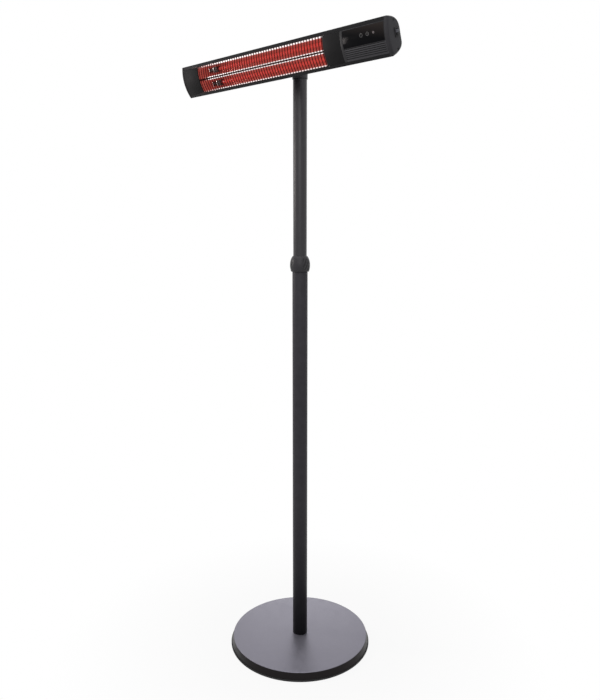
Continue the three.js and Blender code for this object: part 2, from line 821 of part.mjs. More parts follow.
function mirroredX(geometry) {
  const flipped = geometry.clone().scale(-1, 1, 1);
  const index = flipped.getIndex();
  for (let corner = 0; corner < index.count; corner += 3) {
    const second = index.getX(corner + 1);
    index.setX(corner + 1, index.getX(corner + 2));
    index.setX(corner + 2, second);
  }
  flipped.computeVertexNormals();
  return flipped;
}

function endScrew() {
  const headFoot = capFace - endScrewHeadHeight + seatGap;
  const head = rod(endScrewHeadRadius, headFoot, capFace, 20);
  const shank = rod(portBore - seatGap, headFoot - endScrewLength, headFoot + past, 12);
  return alongX(combine(head, [shank]), portDepth);
}

function addHousing(parent) {
  piece(parent, 'housing', housingGeometry(), finishes.powderCoat);
  piece(parent, 'end_cap_right', endCap(true), finishes.charcoal);
  piece(parent, 'end_cap_left', mirroredX(endCap(false)), finishes.charcoal);
  for (const [level, side] of [['upper', 1], ['lower', -1]]) {
    const right = endScrew().translate(0, 0, side * portHeight);
    piece(parent, `end_cap_screw_right_${level}`, right, finishes.steel);
    piece(parent, `end_cap_screw_left_${level}`, mirroredX(right), finishes.steel);
  }
}

// ---------------------------------------------------------------- face plates and guard
// Plate that fills the mouth of the housing, with a flange behind both lips.
function facePlate(left, right) {
  const front = sectionX(faceStrip(seatGap - lipEdge, lipEdge - seatGap, 0, frontPlateWall),
    left, right);
  const reach = lipEdge + frontPlateOverlap;
  const flange = sectionX(faceStrip(-reach, reach, plateInset, frontPlateWall), left, right);
  return combine(front, [flange]);
}

function controlCover() {
  const plate = facePlate(seamAt + seatGap, housingHalf - seatGap);
  const pocket = sectionX(
    faceStrip(panelBottom - seatGap, panelTop + seatGap, -past, panelThickness + seatGap),
    panelLeft - seatGap, panelRight + seatGap,
  );
  const grooves = [];
  for (let groove = 0; groove < ribGrooves; groove += 1) {
    const middle = ribTop - groove * ribPitch;
    const strip = faceStrip(middle - ribGrooveWidth / 2, middle + ribGrooveWidth / 2, -past,
      ribGrooveDepth);
    grooves.push(sectionX(strip, panelLeft, panelRight, 1));
  }
  const posts = boardPosts().map(([x, height]) => alongY(
    rod(boardPostRadius, faceDepth(height, frontPlateWall / 2), boardDepth - seatGap, 12),
    x, height,
  ));
  return combine(plate, posts, [pocket, ...grooves, lensHole()]);
}

function boardPosts() {
  const inset = boardMargin + boardPostRadius;
  const heights = [panelBottom + inset, panelTop - inset];
  return [panelLeft + inset, boardRight - boardPostRadius].flatMap(
    (x) => heights.map((height) => [x, height]),
  );
}

function touchPanel() {
  const plate = sectionX(faceStrip(panelBottom, panelTop, 0, panelThickness), panelLeft,
    panelRight);
  return combine(plate, [], [lensHole()]);
}

function lensHole() {
  const hole = rod(receiverRadius + seatGap, -faceBulge - past, boardDepth, 20);
  return alongY(hole, receiverAt, receiverHeight);
}

function receiverLens() {
  const front = faceDepth(receiverHeight) - receiverProud;
  const lens = rod(receiverRadius, front, boardDepth - seatGap, 20);
  return alongY(lens, receiverAt, receiverHeight);
}

function guardGeometry() {
  const left = windowLeft + seatGap;
  const right = windowRight - seatGap;
  const railMiddle = lipEdge + guardRailWidth / 2;
  const railFoot = lipEdge - guardRailShow;
  const railTop = lipEdge + guardRailWidth;
  const rails = [1, -1].map((side) => sectionX(polygon([
    [faceDepth(railFoot, plateInset), side * railFoot],
    [faceDepth(railTop, plateInset), side * railTop],
    [faceDepth(railTop, guardBack), side * railTop],
    [faceDepth(railFoot, guardBack), side * railFoot],
  ]), left, right));
  const wireInset = plateInset + guardRailThickness / 2;
  const count = Math.floor((right - left - 2 * guardWireRadius) / guardPitch);
  const start = (left + right - count * guardPitch) / 2;
  const wires = [];
  for (let wire = 0; wire <= count; wire += 1) {
    const x = start + wire * guardPitch;
    const points = [];
    for (let step = 0; step <= guardWireSteps; step += 1) {
      const height = railMiddle * (1 - (2 * step) / guardWireSteps);
      points.push([x, faceDepth(height, wireInset), height]);
    }
    wires.push(tube(points, guardWireRadius, guardWireSides, guardWireSteps));
  }
  return combine(rails[0], [rails[1], ...wires]);
}

function addFace(parent) {
  piece(parent, 'front_plate_left', facePlate(seatGap - housingHalf, windowLeft),
    finishes.charcoal);
  piece(parent, 'front_plate_right', facePlate(windowRight, seamAt), finishes.charcoal);
  piece(parent, 'control_cover', controlCover(), finishes.charcoal);
  piece(parent, 'touch_panel', touchPanel(), finishes.gloss);
  piece(parent, 'receiver_lens', receiverLens(), finishes.lens);
  piece(parent, 'guard_grille', guardGeometry(), finishes.steel);
}

// ---------------------------------------------------------------- reflectors
// Sheet of even thickness along a bent line in the side view.
function sheetOutline(line, thickness) {
  const sides = [[], []];
  line.forEach(([x, y], index) => {
    const before = line[Math.max(index - 1, 0)];
    const after = line[Math.min(index + 1, line.length - 1)];
    const run = new THREE.Vector2(after[0] - before[0], after[1] - before[1]).normalize();
    sides[0].push([x - (run.y * thickness) / 2, y + (run.x * thickness) / 2]);
    sides[1].unshift([x + (run.y * thickness) / 2, y - (run.x * thickness) / 2]);
  });
  return polygon([...sides[0], ...sides[1]]);
}

// Bent line of one trough: two points of the outer flange, the curve, three of the ridge.
function troughLine(side) {
  const railBack = faceDepth(lipEdge + guardRailWidth, guardBack);
  const flange = railBack + seatGap + reflectorSheet / 2;
  const opening = lampOffset + reflectorHalfOpening;
  const line = [
    [flange, side * (lipEdge + reflectorFlangeLap)],
    [flange, ridgeHeight + side * (opening + reflectorBend)],
  ];
  for (let step = 0; step <= troughSteps; step += 1) {
    const away = reflectorHalfOpening * (1 - (2 * step) / troughSteps);
    const share = (away / reflectorHalfOpening) ** 2;
    const depth = reflectorDepth - (reflectorDepth - reflectorSlope) * share;
    line.push([depth, ridgeHeight + side * (lampOffset + away)]);
  }
  for (const edge of ridgeStrip) line.push([ridgeFront, ridgeHeight + side * edge]);
  line.push([ridgeReturn, ridgeHeight + side * (reflectorSheet / 2 + seatGap)]);
  return line;
}

function reflectorGeometry(side) {
  const line = troughLine(side);
  const right = partitionAt - seatGap;
  const sheet = sectionX(sheetOutline(line, reflectorSheet), reflectorLeft, right);
  const endWall = sectionX(polygon(line.slice(2, -3)), reflectorLeft,
    reflectorLeft + reflectorSheet);
  const hole = alongY(
    rod(linkHoleRadius, lampDepth, reflectorDepth + reflectorSheet, 16),
    linkHoleAt, lampHeight(side),
  );
  return combine(sheet, [endWall], [hole]);
}

function lampHeight(side) {
  return ridgeHeight + side * lampOffset;
}

// ---------------------------------------------------------------- lamps
function lampGlass() {
  const glass = ring(lampRadius, lampRadius - lampWall, lampLeft - lampSocket + seatGap,
    lampRight + lampSocket - seatGap, 16);
  return alongX(glass, lampDepth);
}

function lampFilament() {
  const low = lampLeft - lampSocket + seatGap;
  const high = lampRight + lampSocket - seatGap;
  return alongX(rod(filamentRadius, low, high, 8), lampDepth);
}

// Left-hand ceramic block: the glass enters from the right, the neck runs out to the left.
function lampBlock() {
  const right = lampLeft;
  const left = right - lampBlockLength;
  const block = box(
    [left, lampDepth - lampBlockDepth / 2, -lampBlockHeight / 2],
    [right, lampDepth + lampBlockDepth / 2, lampBlockHeight / 2],
  );
  const neck = alongX(rod(lampNeckRadius, left - lampNeckLength, left + past, 16), lampDepth);
  const socket = alongX(rod(lampRadius + seatGap, right - lampSocket, right + past, 20),
    lampDepth);
  return combine(block, [neck], [socket]);
}

// Left-hand spring clip: two uprights on a foot that lies on the trough's floor.
function lampClip() {
  const right = lampLeft - lampBlockLength - seatGap;
  const left = right - clipLength + 2 * seatGap;
  const front = lampDepth - lampBlockDepth / 2;
  const floor = reflectorDepth - reflectorSheet / 2 - clipLift;
  const shoulder = floor - clipShoulder;
  const half = lampBlockHeight / 2;
  const upright = polygon([
    [front, -half],
    [shoulder, -half],
    [floor, -clipFootWidth / 2],
    [floor, clipFootWidth / 2],
    [shoulder, half],
    [front, half],
  ]);
  const outer = sectionX(upright, left, left + clipThickness);
  const inner = sectionX(upright, right - clipThickness, right);
  const foot = box(
    [left, floor - clipThickness, -clipFootWidth / 2],
    [right, floor, clipFootWidth / 2],
  );
  const hole = alongX(rod(lampNeckRadius + seatGap, left - past, right + past, 16), lampDepth);
  return combine(outer, [inner, foot], [hole]);
}

function addLamps(parent) {
  const mirrorAt = lampLeft + lampRight;
  for (const [level, side] of [['upper', 1], ['lower', -1]]) {
    const lift = lampHeight(side);
    piece(parent, `reflector_${level}`, reflectorGeometry(side), finishes.mirror);
    piece(parent, `lamp_tube_${level}`, lampGlass().translate(0, 0, lift), finishes.glass);
    piece(parent, `filament_${level}`, lampFilament().translate(0, 0, lift), finishes.filament);
    const block = lampBlock().translate(0, 0, lift);
    const clip = lampClip().translate(0, 0, lift);
    piece(parent, `lamp_base_left_${level}`, block, finishes.ceramic);
    piece(parent, `lamp_clip_left_${level}`, clip, finishes.steel);
    piece(parent, `lamp_base_right_${level}`, mirroredX(block).translate(mirrorAt, 0, 0),
      finishes.ceramic);
    piece(parent, `lamp_clip_right_${level}`, mirroredX(clip).translate(mirrorAt, 0, 0),
      finishes.steel);
  }
  addLeads(parent);
}

// One lead from each lamp to the terminal block, and a link that joins the lamps' left ends
// behind the troughs.
function addLeads(parent) {
  const neckRight = lampRight + lampBlockLength + lampNeckLength;
  const terminalDepth = headDepth - housingWall - terminalSize[1] / 2;
  const terminalLeft = terminalAt - terminalSize[0] / 2 - seatGap;
  for (const [level, side] of [['upper', 1], ['lower', -1]]) {
    const lampEnd = [lampDepth, lampHeight(side)];
    const terminalEnd = [terminalDepth, (side * terminalPitch) / 2 - chordRise];
    const middle = lampEnd.map((value, axis) => (value + terminalEnd[axis]) / 2);
    const route = [
      [neckRight + seatGap, ...lampEnd],
      [partitionEnd + leadRun, ...lampEnd],
      [(partitionEnd + terminalLeft) / 2, ...middle],
      [terminalLeft - leadRun, ...terminalEnd],
      [terminalLeft, ...terminalEnd],
    ];
    piece(parent, `lead_${level}`, tube(route, leadRadius, 5, 10), finishes.cream);
  }
  const neckLeft = lampLeft - lampBlockLength - lampNeckLength;
  const half = [
    [neckLeft - seatGap, lampDepth, lampOffset],
    [neckLeft - leadRun, lampDepth, lampOffset],
    [linkHoleAt, lampDepth + leadRun, lampOffset],
    [linkHoleAt, reflectorDepth, lampOffset],
    [linkHoleAt, reflectorDepth + linkBehind, lampOffset - leadRun],
  ].map(([x, y, z]) => [x, y, ridgeHeight + z]);
  const back = half.map(([x, y, z]) => [x, y, 2 * ridgeHeight - z]).reverse();
  piece(parent, 'lead_link', tube([...half, ...back], leadRadius, 5, 22), finishes.cream);
}

// ---------------------------------------------------------------- control bay
function heatPartition() {
  const plate = sectionX(headOutline(housingWall + seatGap), partitionAt, partitionEnd);
  const faceRoom = box(
    [partitionAt - past, -faceBulge - past, -chordHeight],
    [partitionEnd + past, frontPlateWall + seatGap, chordHeight],
  );
  const holes = [1, -1].map((side) => alongX(
    rod(leadRadius + leadRoom, partitionAt - past, partitionEnd + past, 12),
    lampDepth, lampHeight(side),
  ));
  const channels = portRooms(partitionAt - past, partitionEnd + past);
  return combine(plate, [], [faceRoom, ...channels, ...holes]);
}

function glandGeometry() {
  const outside = headDepth + seatGap;
  const inside = headDepth - housingWall - glandInside;
  const hexEnd = outside + glandHexLength;
  const domeEnd = hexEnd + glandDomeLength;
  const dome = revolved([
    [0, hexEnd - past],
    [glandDomeRadius, hexEnd - past],
    [glandDomeRadius, domeEnd - glandDomeTaper],
    [glandDomeRadius - glandDomePull, domeEnd],
    [0, domeEnd],
  ], 20);
  const thread = rod(glandThreadRadius, inside, outside + past);
  const bore = rod(glandBore, inside - past, domeEnd + past, 20);
  const body = combine(hexRod(glandHexAcross, outside, hexEnd), [dome, thread], [bore]);
  return alongY(body, glandAt, -chordRise);
}

function boxAt(centre, size) {
  return box(
    centre.map((value, axis) => value - size[axis] / 2),
    centre.map((value, axis) => value + size[axis] / 2),
  );
}

function addControls(parent) {
  piece(parent, 'heat_partition', heatPartition(), finishes.steel);
  const cutout = alongX(rod(cutoutRadius, partitionEnd + seatGap,
    partitionEnd + seatGap + cutoutThickness, 20), cutoutDepth);
  piece(parent, 'thermal_cutout', cutout, finishes.blackPlastic);

  const boardBack = boardDepth + boardThickness;
  const board = box(
    [panelLeft + boardMargin, boardDepth, panelBottom + boardMargin],
    [boardRight, boardBack, panelTop - boardMargin],
  );
  piece(parent, 'control_board', board, finishes.board);
  const mounted = (x, size, height) => boxAt([x, boardBack + seatGap + size[1] / 2, height], size);
  const middle = (panelTop + panelBottom) / 2;
  piece(parent, 'power_relay', mounted(panelLeft + relayInset, relaySize, middle), finishes.cream);
  piece(parent, 'tip_switch', mounted(panelLeft + tipSwitchInset, tipSwitchSize, middle),
    finishes.blackPlastic);

  const terminalDepth = headDepth - housingWall - seatGap - terminalSize[1] / 2;
  piece(parent, 'terminal_block', boxAt([terminalAt, terminalDepth, -chordRise], terminalSize),
    finishes.cream);
  piece(parent, 'cord_gland', glandGeometry(), finishes.blackPlastic);
}

// ---------------------------------------------------------------- power switch
function switchHousing() {
  const [depth, height] = switchOpening;
  const flange = boxAt(
    [capFace + seatGap + switchFlangeThickness / 2, switchDepthAt, switchHeightAt],
    [switchFlangeThickness, depth + 2 * switchFlange, height + 2 * switchFlange],
  );
  const body = box(
    [capFace - switchBodyLength, switchDepthAt - depth / 2 + seatGap,
      switchHeightAt - height / 2 + seatGap],
    [capFace + seatGap + past, switchDepthAt + depth / 2 - seatGap,
      switchHeightAt + height / 2 - seatGap],
  );
  const halfDepth = depth / 2 - seatGap - switchWall;
  const halfHeight = height / 2 - seatGap - switchWall;
  const inside = box(
    [capFace - switchBodyLength + switchFloor, switchDepthAt - halfDepth,
      switchHeightAt - halfHeight],
    [capFace + seatGap + switchFlangeThickness + past, switchDepthAt + halfDepth,
      switchHeightAt + halfHeight],
  );
  return combine(flange, [body], [inside]);
}

function rockerGeometry() {
  const [depth, height] = switchOpening;
  const halfHeight = height / 2 - switchWall - seatGap - rockerEndRoom;
  const halfDepth = depth / 2 - switchWall - seatGap - runGap;
  const front = rockerPivotDepth + switchFlangeThickness + rockerProud;
  const rise = halfHeight * Math.tan(rockerAngle);
  const side = polygon([
    [front, 0],
    [front + rise, halfHeight],
    [0, halfHeight],
    [-rockerKeel, 0],
    [0, -halfHeight],
    [front + rise, -halfHeight],
  ]);
  const body = new THREE.ExtrudeGeometry(side, { depth: 2 * halfDepth, bevelEnabled: false });
  body.translate(0, 0, -halfDepth);
  body.rotateX(Math.PI / 2);
  const axleEnd = halfDepth + runGap - seatGap;
  const axle = alongY(rod(rockerAxleRadius, -axleEnd, axleEnd, 12));
  return combine(body, [axle]);
}

function addSwitch(parent) {
  piece(parent, 'switch_housing', switchHousing(), finishes.blackPlastic);
  const rocker = piece(parent, 'power_rocker', rockerGeometry(), finishes.blackPlastic);
  rocker.position.set(capFace - rockerPivotDepth, switchDepthAt, switchHeightAt);
  rocker.rotation.y = rockerAngle;
}

// ---------------------------------------------------------------- tilt bracket
function bracketGeometry() {
  const plateFront = headDepth + seatGap;
  const plate = box(
    [-bracketWidth / 2, plateFront, -chordRise - bracketHeight / 2],
    [bracketWidth / 2, plateFront + bracketThickness, -chordRise + bracketHeight / 2],
  );
  const halfWidth = earInside - seatGap;
  const web = box(
    [-halfWidth, plateFront + past, -chordRise - bracketWebHeight / 2],
    [halfWidth, chordAhead, -chordRise + bracketWebHeight / 2],
  );
  const knuckle = alongX(rod(knuckleRadius, -halfWidth, halfWidth, 28), chordAhead, -chordRise);
  const bore = alongX(
    rod(pivotBoltRadius + runGap, -halfWidth - past, halfWidth + past, 20),
    chordAhead, -chordRise,
  );
  const screwHoles = bracketScrewPlaces().map((x) => alongY(
    rod(bracketScrewRadius + seatGap, headDepth, plateFront + bracketThickness + past, 12),
    x, -chordRise,
  ));
  return combine(plate, [web, knuckle], [bore, ...screwHoles]);
}

function addBracket(parent) {
  piece(parent, 'tilt_bracket', bracketGeometry(), finishes.powderCoat);
  const seat = headDepth + seatGap + bracketThickness + seatGap;
  bracketScrewPlaces().forEach((x, index) => {
    const head = rod(bracketScrewHeadRadius, seat, seat + bracketScrewHeadHeight, 16);
    const shank = rod(bracketScrewRadius, seat - bracketScrewLength, seat + past, 12);
    const screw = alongY(combine(head, [shank]), x, -chordRise);
    piece(parent, `bracket_screw_${index === 0 ? 'left' : 'right'}`, screw, finishes.steel);
  });
}

// ---------------------------------------------------------------- whole heater
const heater = new THREE.Group();
addFoot(heater);
addLowerPole(heater);
piece(heater, 'lock_collar', collarGeometry(), finishes.powderCoat);
addMast(heater);
piece(heater, 'tilt_knob', knobGeometry(), finishes.blackPlastic);

const pivot = new THREE.Group();
pivot.position.set(0, -pivotReach, pivotHeight);
pivot.rotation.x = tiltAngle;
heater.add(pivot);

const head = new THREE.Group();
head.position.set(0, -chordAhead, chordRise);
pivot.add(head);
addHousing(head);
addFace(head);
addLamps(head);
addControls(head);
addSwitch(head);
addBracket(head);

export default heater;
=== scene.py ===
"""Looks of an infrared patio heater tower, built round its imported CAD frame.

Lengths are in metres. The foot stands on the ground at the origin, the pole runs up +Z,
the head faces -Y with its face tipped down, and its control end is at +X. The head's own
frame has x along the head, y backwards from the edges of its face and z up the face.
"""

import json
import math

import bmesh
import bpy
from bpy.props import FloatProperty, FloatVectorProperty, IntProperty, PointerProperty
from bpy.types import Operator, Panel, PropertyGroup
from mathutils import Matrix, Vector


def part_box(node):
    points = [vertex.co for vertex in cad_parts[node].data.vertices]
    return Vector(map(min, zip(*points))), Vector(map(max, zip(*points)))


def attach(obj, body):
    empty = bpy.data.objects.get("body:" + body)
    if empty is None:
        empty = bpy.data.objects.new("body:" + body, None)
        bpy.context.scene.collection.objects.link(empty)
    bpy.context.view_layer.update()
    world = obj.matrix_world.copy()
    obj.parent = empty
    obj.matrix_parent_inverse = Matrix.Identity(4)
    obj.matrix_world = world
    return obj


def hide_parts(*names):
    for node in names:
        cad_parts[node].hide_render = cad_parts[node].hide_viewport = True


bl_info = {
    "name": "Infrared Patio Heater",
    "version": (1, 0, 0),
    "blender": (4, 5, 0),
    "location": "3D View > Sidebar > Heater",
    "description": "Models and finishes a telescopic infrared patio heater",
    "category": "Object",
}

MERGE = 1e-6  # points closer than this become one
PAST = 0.001  # a cutter runs past the surface it opens by this
QUARTER = math.pi / 2
ROUND = math.radians(80)  # edges of thin round wires stay smooth up to this

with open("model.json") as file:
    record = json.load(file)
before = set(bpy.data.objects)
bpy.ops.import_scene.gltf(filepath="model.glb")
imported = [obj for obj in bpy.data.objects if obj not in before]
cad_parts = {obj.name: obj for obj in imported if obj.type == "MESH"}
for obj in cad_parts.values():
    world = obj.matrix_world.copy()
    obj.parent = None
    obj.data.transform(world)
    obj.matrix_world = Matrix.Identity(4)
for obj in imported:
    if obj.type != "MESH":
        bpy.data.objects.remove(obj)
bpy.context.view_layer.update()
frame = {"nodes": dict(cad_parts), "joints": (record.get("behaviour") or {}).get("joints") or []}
joints = {joint["name"]: joint for joint in frame["joints"]}


# ---------------------------------------------------------------- properties
def length(description, default):
    return FloatProperty(description=description, default=default, precision=4, unit="LENGTH")


def angle(description, degrees):
    radians = math.radians(degrees)
    return FloatProperty(description=description, default=radians, subtype="ANGLE")


def count(description, default):
    return IntProperty(description=description, default=default)


def colour(description, default):
    return FloatVectorProperty(
        description=description, default=default, subtype="COLOR", min=0, max=1
    )


class FootSizes(PropertyGroup):
    """Round weighted foot."""

    top_radius: length("Flat top of the foot", 0.250)
    flare: length("The side wall leans out by this much at the ground", 0.006)
    edge: length("Rounding of the top edge", 0.003)
    wall: length("Sheet thickness of the cover", 0.0016)
    bolt_hole: length("Radius of the hole under the pole", 0.007)
    trim_width: length("Width of the rubber ring on the ground", 0.014)
    trim_edge: length("Rounding of the rubber ring", 0.0022)


class PoleSizes(PropertyGroup):
    """Telescopic tubes and their twist lock."""

    wall: length("Wall of both tubes", 0.0015)
    tube_edge: length("Rounding of the tubes' ends", 0.0004)
    belly_height: length("Widest ring of the collar above its foot", 0.022)
    bulge: length("Widest ring beyond the collar's foot", 0.004)
    shoulder_drop: length("The shoulder starts this far below the top", 0.016)
    shoulder_in: length("Handle of the shoulder, inwards", 0.0004)
    shoulder_down: length("Handle of the shoulder, down from the top", 0.0063)
    rim_lip: length("Flat on top of the collar's rim", 0.0012)
    grips: count("Ribbed grip panels round the collar", 3)
    grip_width: angle("Angle that one grip panel covers", 55)
    grip_turn: angle("Middle of the first grip panel", -4.5)
    grip_margin: length("Smooth band below and above the grips", 0.005)
    rib_pitch: length("From one slanting rib to the next", 0.0095)
    rib_depth: length("Depth of the slanting grooves", 0.0016)
    rib_slant: angle("Slope of the ribs", 64)


class HeadSizes(PropertyGroup):
    """Outline of the head, seen from its end."""

    tilt: angle("Face tipped down from level", 20)
    ahead: length("Face's edges in front of the tilt joint", 0.081)
    rise: length("Face's middle above the tilt joint", 0.004)
    chord: length("Height of the face from edge to edge", 0.105)
    bulge: length("The face stands this far in front of its edges", 0.0112)
    depth: length("Flat back behind the face's edges", 0.051)
    wall: length("Wall of the housing", 0.002)
    shoulder_reach: length("Handle at the top edge, backwards", 0.036)
    shoulder_drop: length("Handle at the top edge, downwards", 0.0045)
    shoulder_fall: length("Handle at the top of the back", 0.025)
    back_top: length("Top of the flat back", 0.012)
    heel_reach: length("Handle at the bottom edge, backwards", 0.034)
    heel_drop: length("Handle at the bottom edge, upwards", 0.0055)
    heel_fall: length("Handle at the foot of the back", 0.016)
    back_foot: length("Foot of the flat back", -0.020)
    lip: length("Dark lip above and below the face", 0.0095)
    cap_edge: length("Rounding of the end caps", 0.008)
    cap_wall: length("Wall of the end caps", 0.004)
    port_depth: length("End screws behind the face's edges", 0.024)
    port_inset: length("End screws from the face's edges", 0.0145)
    screw_radius: length("Head of an end screw", 0.0036)
    screw_rise: length("Height of an end screw's head", 0.0017)
    screw_sink: length("Depth of the pocket round an end screw", 0.002)


class FaceSizes(PropertyGroup):
    """Plates, touch panel, ribs and guard."""

    plate: length("Thickness of the face plates", 0.004)
    seam: length("Softened edge of the plates", 0.0005)
    gap: length("Between pieces that touch", 0.0003)
    panel: length("Thickness of the touch panel", 0.0016)
    rib_pitch: length("From one groove to the next", 0.0054)
    rib_width: length("Width of a groove", 0.0024)
    rib_depth: length("Depth of a groove", 0.0013)
    rib_gap: length("First groove below the panel", 0.0023)
    rib_count: count("Grooves below the panel", 6)
    key_radius: length("Ring of a touch key", 0.0052)
    key_line: length("Line width of a touch key", 0.0009)
    key_first: length("First key from the panel's left edge", 0.067)
    key_second: length("Second key from the panel's left edge", 0.089)
    wire: length("Radius of a guard wire", 0.00135)
    wire_pitch: length("From one guard wire to the next", 0.0115)
    rail_width: length("Flat rail that carries the wires", 0.005)
    rail: length("Thickness of a rail", 0.0028)
    rail_show: length("Rail inside the lip's edge", 0.001)


class LampSizes(PropertyGroup):
    """Reflector troughs and quartz lamps."""

    sheet: length("Reflector sheet", 0.001)
    trough_depth: length("Floor of a trough behind the face's edges", 0.036)
    trough_mouth: length("Start of a trough behind the face's edges", 0.006)
    trough_margin: length("Trough's edge from the lip's edge", 0.005)
    ridge_height: length("Middle of the ridge", -0.001)
    ridge_half: length("Middle of the ridge to a trough's edge", 0.0054)
    ridge_front: length("Ridge strips behind the face's edges", 0.002)
    ridge_return: length("Ridge's middle behind the face's edges", 0.006)
    strip_start: length("Ridge strips start inside the window by this", 0.033)
    strip_outer: length("Outer edge of a ridge strip", 0.0044)
    strip_inner: length("Inner edge of a ridge strip", 0.0028)
    flange_lap: length("Outer flange behind the lips", 0.0045)
    bend: length("Width of the bend beside a trough", 0.0015)
    lamp_depth: length("Lamp's axis behind the face's edges", 0.017)
    glass: length("Radius of a lamp's tube", 0.0055)
    glass_wall: length("Wall of a lamp's tube", 0.001)
    coil: length("Radius of the heating coil", 0.0015)
    coil_wire: length("Radius of the coil's wire", 0.00045)
    coil_pitch: length("From one turn to the next", 0.0040)


class Finishes(PropertyGroup):
    """Colours and light of the heater."""

    pole: colour("Powder coat of the pole", (0.030, 0.028, 0.0325))
    # Painted light: the lower tube's coat is a lighter copy of the pole's own coat, standing in
    # for light on it.
    lower_pole: colour("Powder coat of the lower tube", (0.053, 0.0505, 0.0585))
    # Painted light and shade: the foot's top is a lit grey and its side wall a shaded near black
    # copy of the same coat.
    foot: colour("Satin coat on top of the foot", (0.215, 0.208, 0.248))
    foot_side: colour("Coat on the foot's side wall", (0.014, 0.012, 0.0125))
    housing: colour("Coat of the housing and its lips", (0.006, 0.0058, 0.0070))
    plate: colour("Charcoal plates, painted", (0.0205, 0.0200, 0.0208))
    # Painted light: the right end cap's coat is a lighter copy of the left cap's charcoal, for
    # light on its end face.
    cap: colour("Moulded end caps", (0.044, 0.043, 0.048))
    cover: colour("Control cover", (0.026, 0.0255, 0.028))
    # Painted shade: this dark colour goes in grooves and grips, towards the pole's foot and on
    # the reflectors' dark seam, spot and hidden end.
    groove: colour("Depth of grooves and grips", (0.004, 0.004, 0.005))
    black: colour("Knob, switch and gland", (0.012, 0.012, 0.014))
    rubber: colour("Ring under the foot", (0.008, 0.008, 0.009))
    steel: colour("Zinc plated steel", (0.42, 0.42, 0.43))
    reflector: colour("Polished aluminium", (0.86, 0.85, 0.85))
    # Painted light: the trough's red tint, the glow on the troughs and the glint on the flat
    # strips are light painted on the reflectors.
    trough: colour("Reflector beside the lamps", (0.36, 0.22, 0.20))
    glow: colour("Light of the lamps", (1.0, 0.16, 0.13))
    glint: colour("Lamps' light on the reflectors' flat strips", (1.0, 0.86, 0.84))
    ruby: colour("Red quartz", (0.60, 0.045, 0.035))
    coil: colour("Heating coil", (1.0, 0.22, 0.08))
    # Painted shade: the ceramic blocks are near black for the shade they sit in.
    ceramic: colour("Blocks on the lamps", (0.020, 0.017, 0.015))
    panel: colour("Polished touch panel", (0.0085, 0.0085, 0.0098))
    # Painted sheen: the touch panel's colour towards its upper right corner.
    panel_sheen: colour("Touch panel at its upper right corner", (0.040, 0.033, 0.031))


class StageSizes(PropertyGroup):
    """Camera and light."""

    camera_turn: angle("Camera round the pole, from straight ahead", 42.53)
    camera_away: length("Camera from the pole along the ground", 2.386)
    camera_height: length("Camera above the ground", 1.5126)
    camera_pitch: angle("Camera tipped down", 9.6)
    lens: FloatProperty(name="Lens", description="Focal length", default=35.36, unit="CAMERA")
    floor_radius: length("Pale floor", 6.0)


GROUPS = {
    "heater_foot": FootSizes,
    "heater_pole": PoleSizes,
    "heater_head": HeadSizes,
    "heater_face": FaceSizes,
    "heater_lamp": LampSizes,
    "heater_finish": Finishes,
    "heater_stage": StageSizes,
}


def sizes(group):
    """Settings of one group, such as foot, lamp or finish."""
    return getattr(bpy.context.scene, "heater_" + group)


# ---------------------------------------------------------------- places from the frame
def head_matrix():
    """Matrix from the head's own frame to the part's."""
    head = sizes("head")
    pivot = Matrix.Translation(joints["head_tilt"]["pos_m"])
    offset = Matrix.Translation((0, -head.ahead, head.rise))
    return pivot @ Matrix.Rotation(head.tilt, 4, "X") @ offset


def head_box(node):
    """Lowest and highest corner of a CAD node in the head's own frame."""
    inverse = head_matrix().inverted()
    points = [inverse @ vertex.co for vertex in frame["nodes"][node].data.vertices]
    low = Vector([min(point[axis] for point in points) for axis in range(3)])
    high = Vector([max(point[axis] for point in points) for axis in range(3)])
    return low, high


# ---------------------------------------------------------------- outlines
def arc(centre, radius, start, end, steps):
    """Points on a circle from one angle to another, both ends included."""
    angles = [start + (end - start) * step / steps for step in range(steps + 1)]
    return [
        (centre[0] + radius * math.cos(turn), centre[1] + radius * math.sin(turn))
        for turn in angles
    ]


def bezier(points, steps):
    """Points on a cubic curve from its four handles."""
    first, second, third, last = (Vector(point) for point in points)
    curve = []
    for step in range(steps + 1):
        near = step / steps
        far = 1 - near
        place = first * far**3 + second * 3 * far**2 * near
        place += third * 3 * far * near**2 + last * near**3
        curve.append(tuple(place))
    return curve


def face_radius():
    head = sizes("head")
    half = head.chord / 2
    return (half**2 + head.bulge**2) / (2 * head.bulge)


def face_depth(height, inset=0.0):
    """Depth of the face, or of a surface inset from it, behind its edges at a height."""
    radius = face_radius()
    return radius - sizes("head").bulge - math.sqrt((radius - inset) ** 2 - height**2)


def face_line(low, high, inset, steps):
    """Points (depth, height) on the face from one height to another."""
    radius = face_radius()
    centre = (radius - sizes("head").bulge, 0)
    start = math.pi - math.asin(low / (radius - inset))
    end = math.pi - math.asin(high / (radius - inset))
    return arc(centre, radius - inset, start, end, steps)


def back_line(inset, steps=24):
    """Points from the face's top edge round the back to its bottom edge."""
    head = sizes("head")
    half = head.chord / 2 - inset
    back = head.depth - inset
    edge = face_depth(half, inset)
    top = [
        (edge, half),
        (edge + head.shoulder_reach, half - head.shoulder_drop),
        (back, head.back_top + head.shoulder_fall - inset),
        (back, head.back_top),
    ]
    foot = [
        (back, head.back_foot),
        (back, head.back_foot - head.heel_fall + inset),
        (edge + head.heel_reach, head.heel_drop - half),
        (edge, -half),
    ]
    return bezier(top, steps) + bezier(foot, steps)


def head_outline(inset=0.0, steps=24):
    """Closed outline of the head, seen from its end."""
    half = sizes("head").chord / 2 - inset
    return back_line(inset, steps) + face_line(-half, half, inset, steps)[1:-1]


def lip_edge():
    head = sizes("head")
    return head.chord / 2 - head.lip


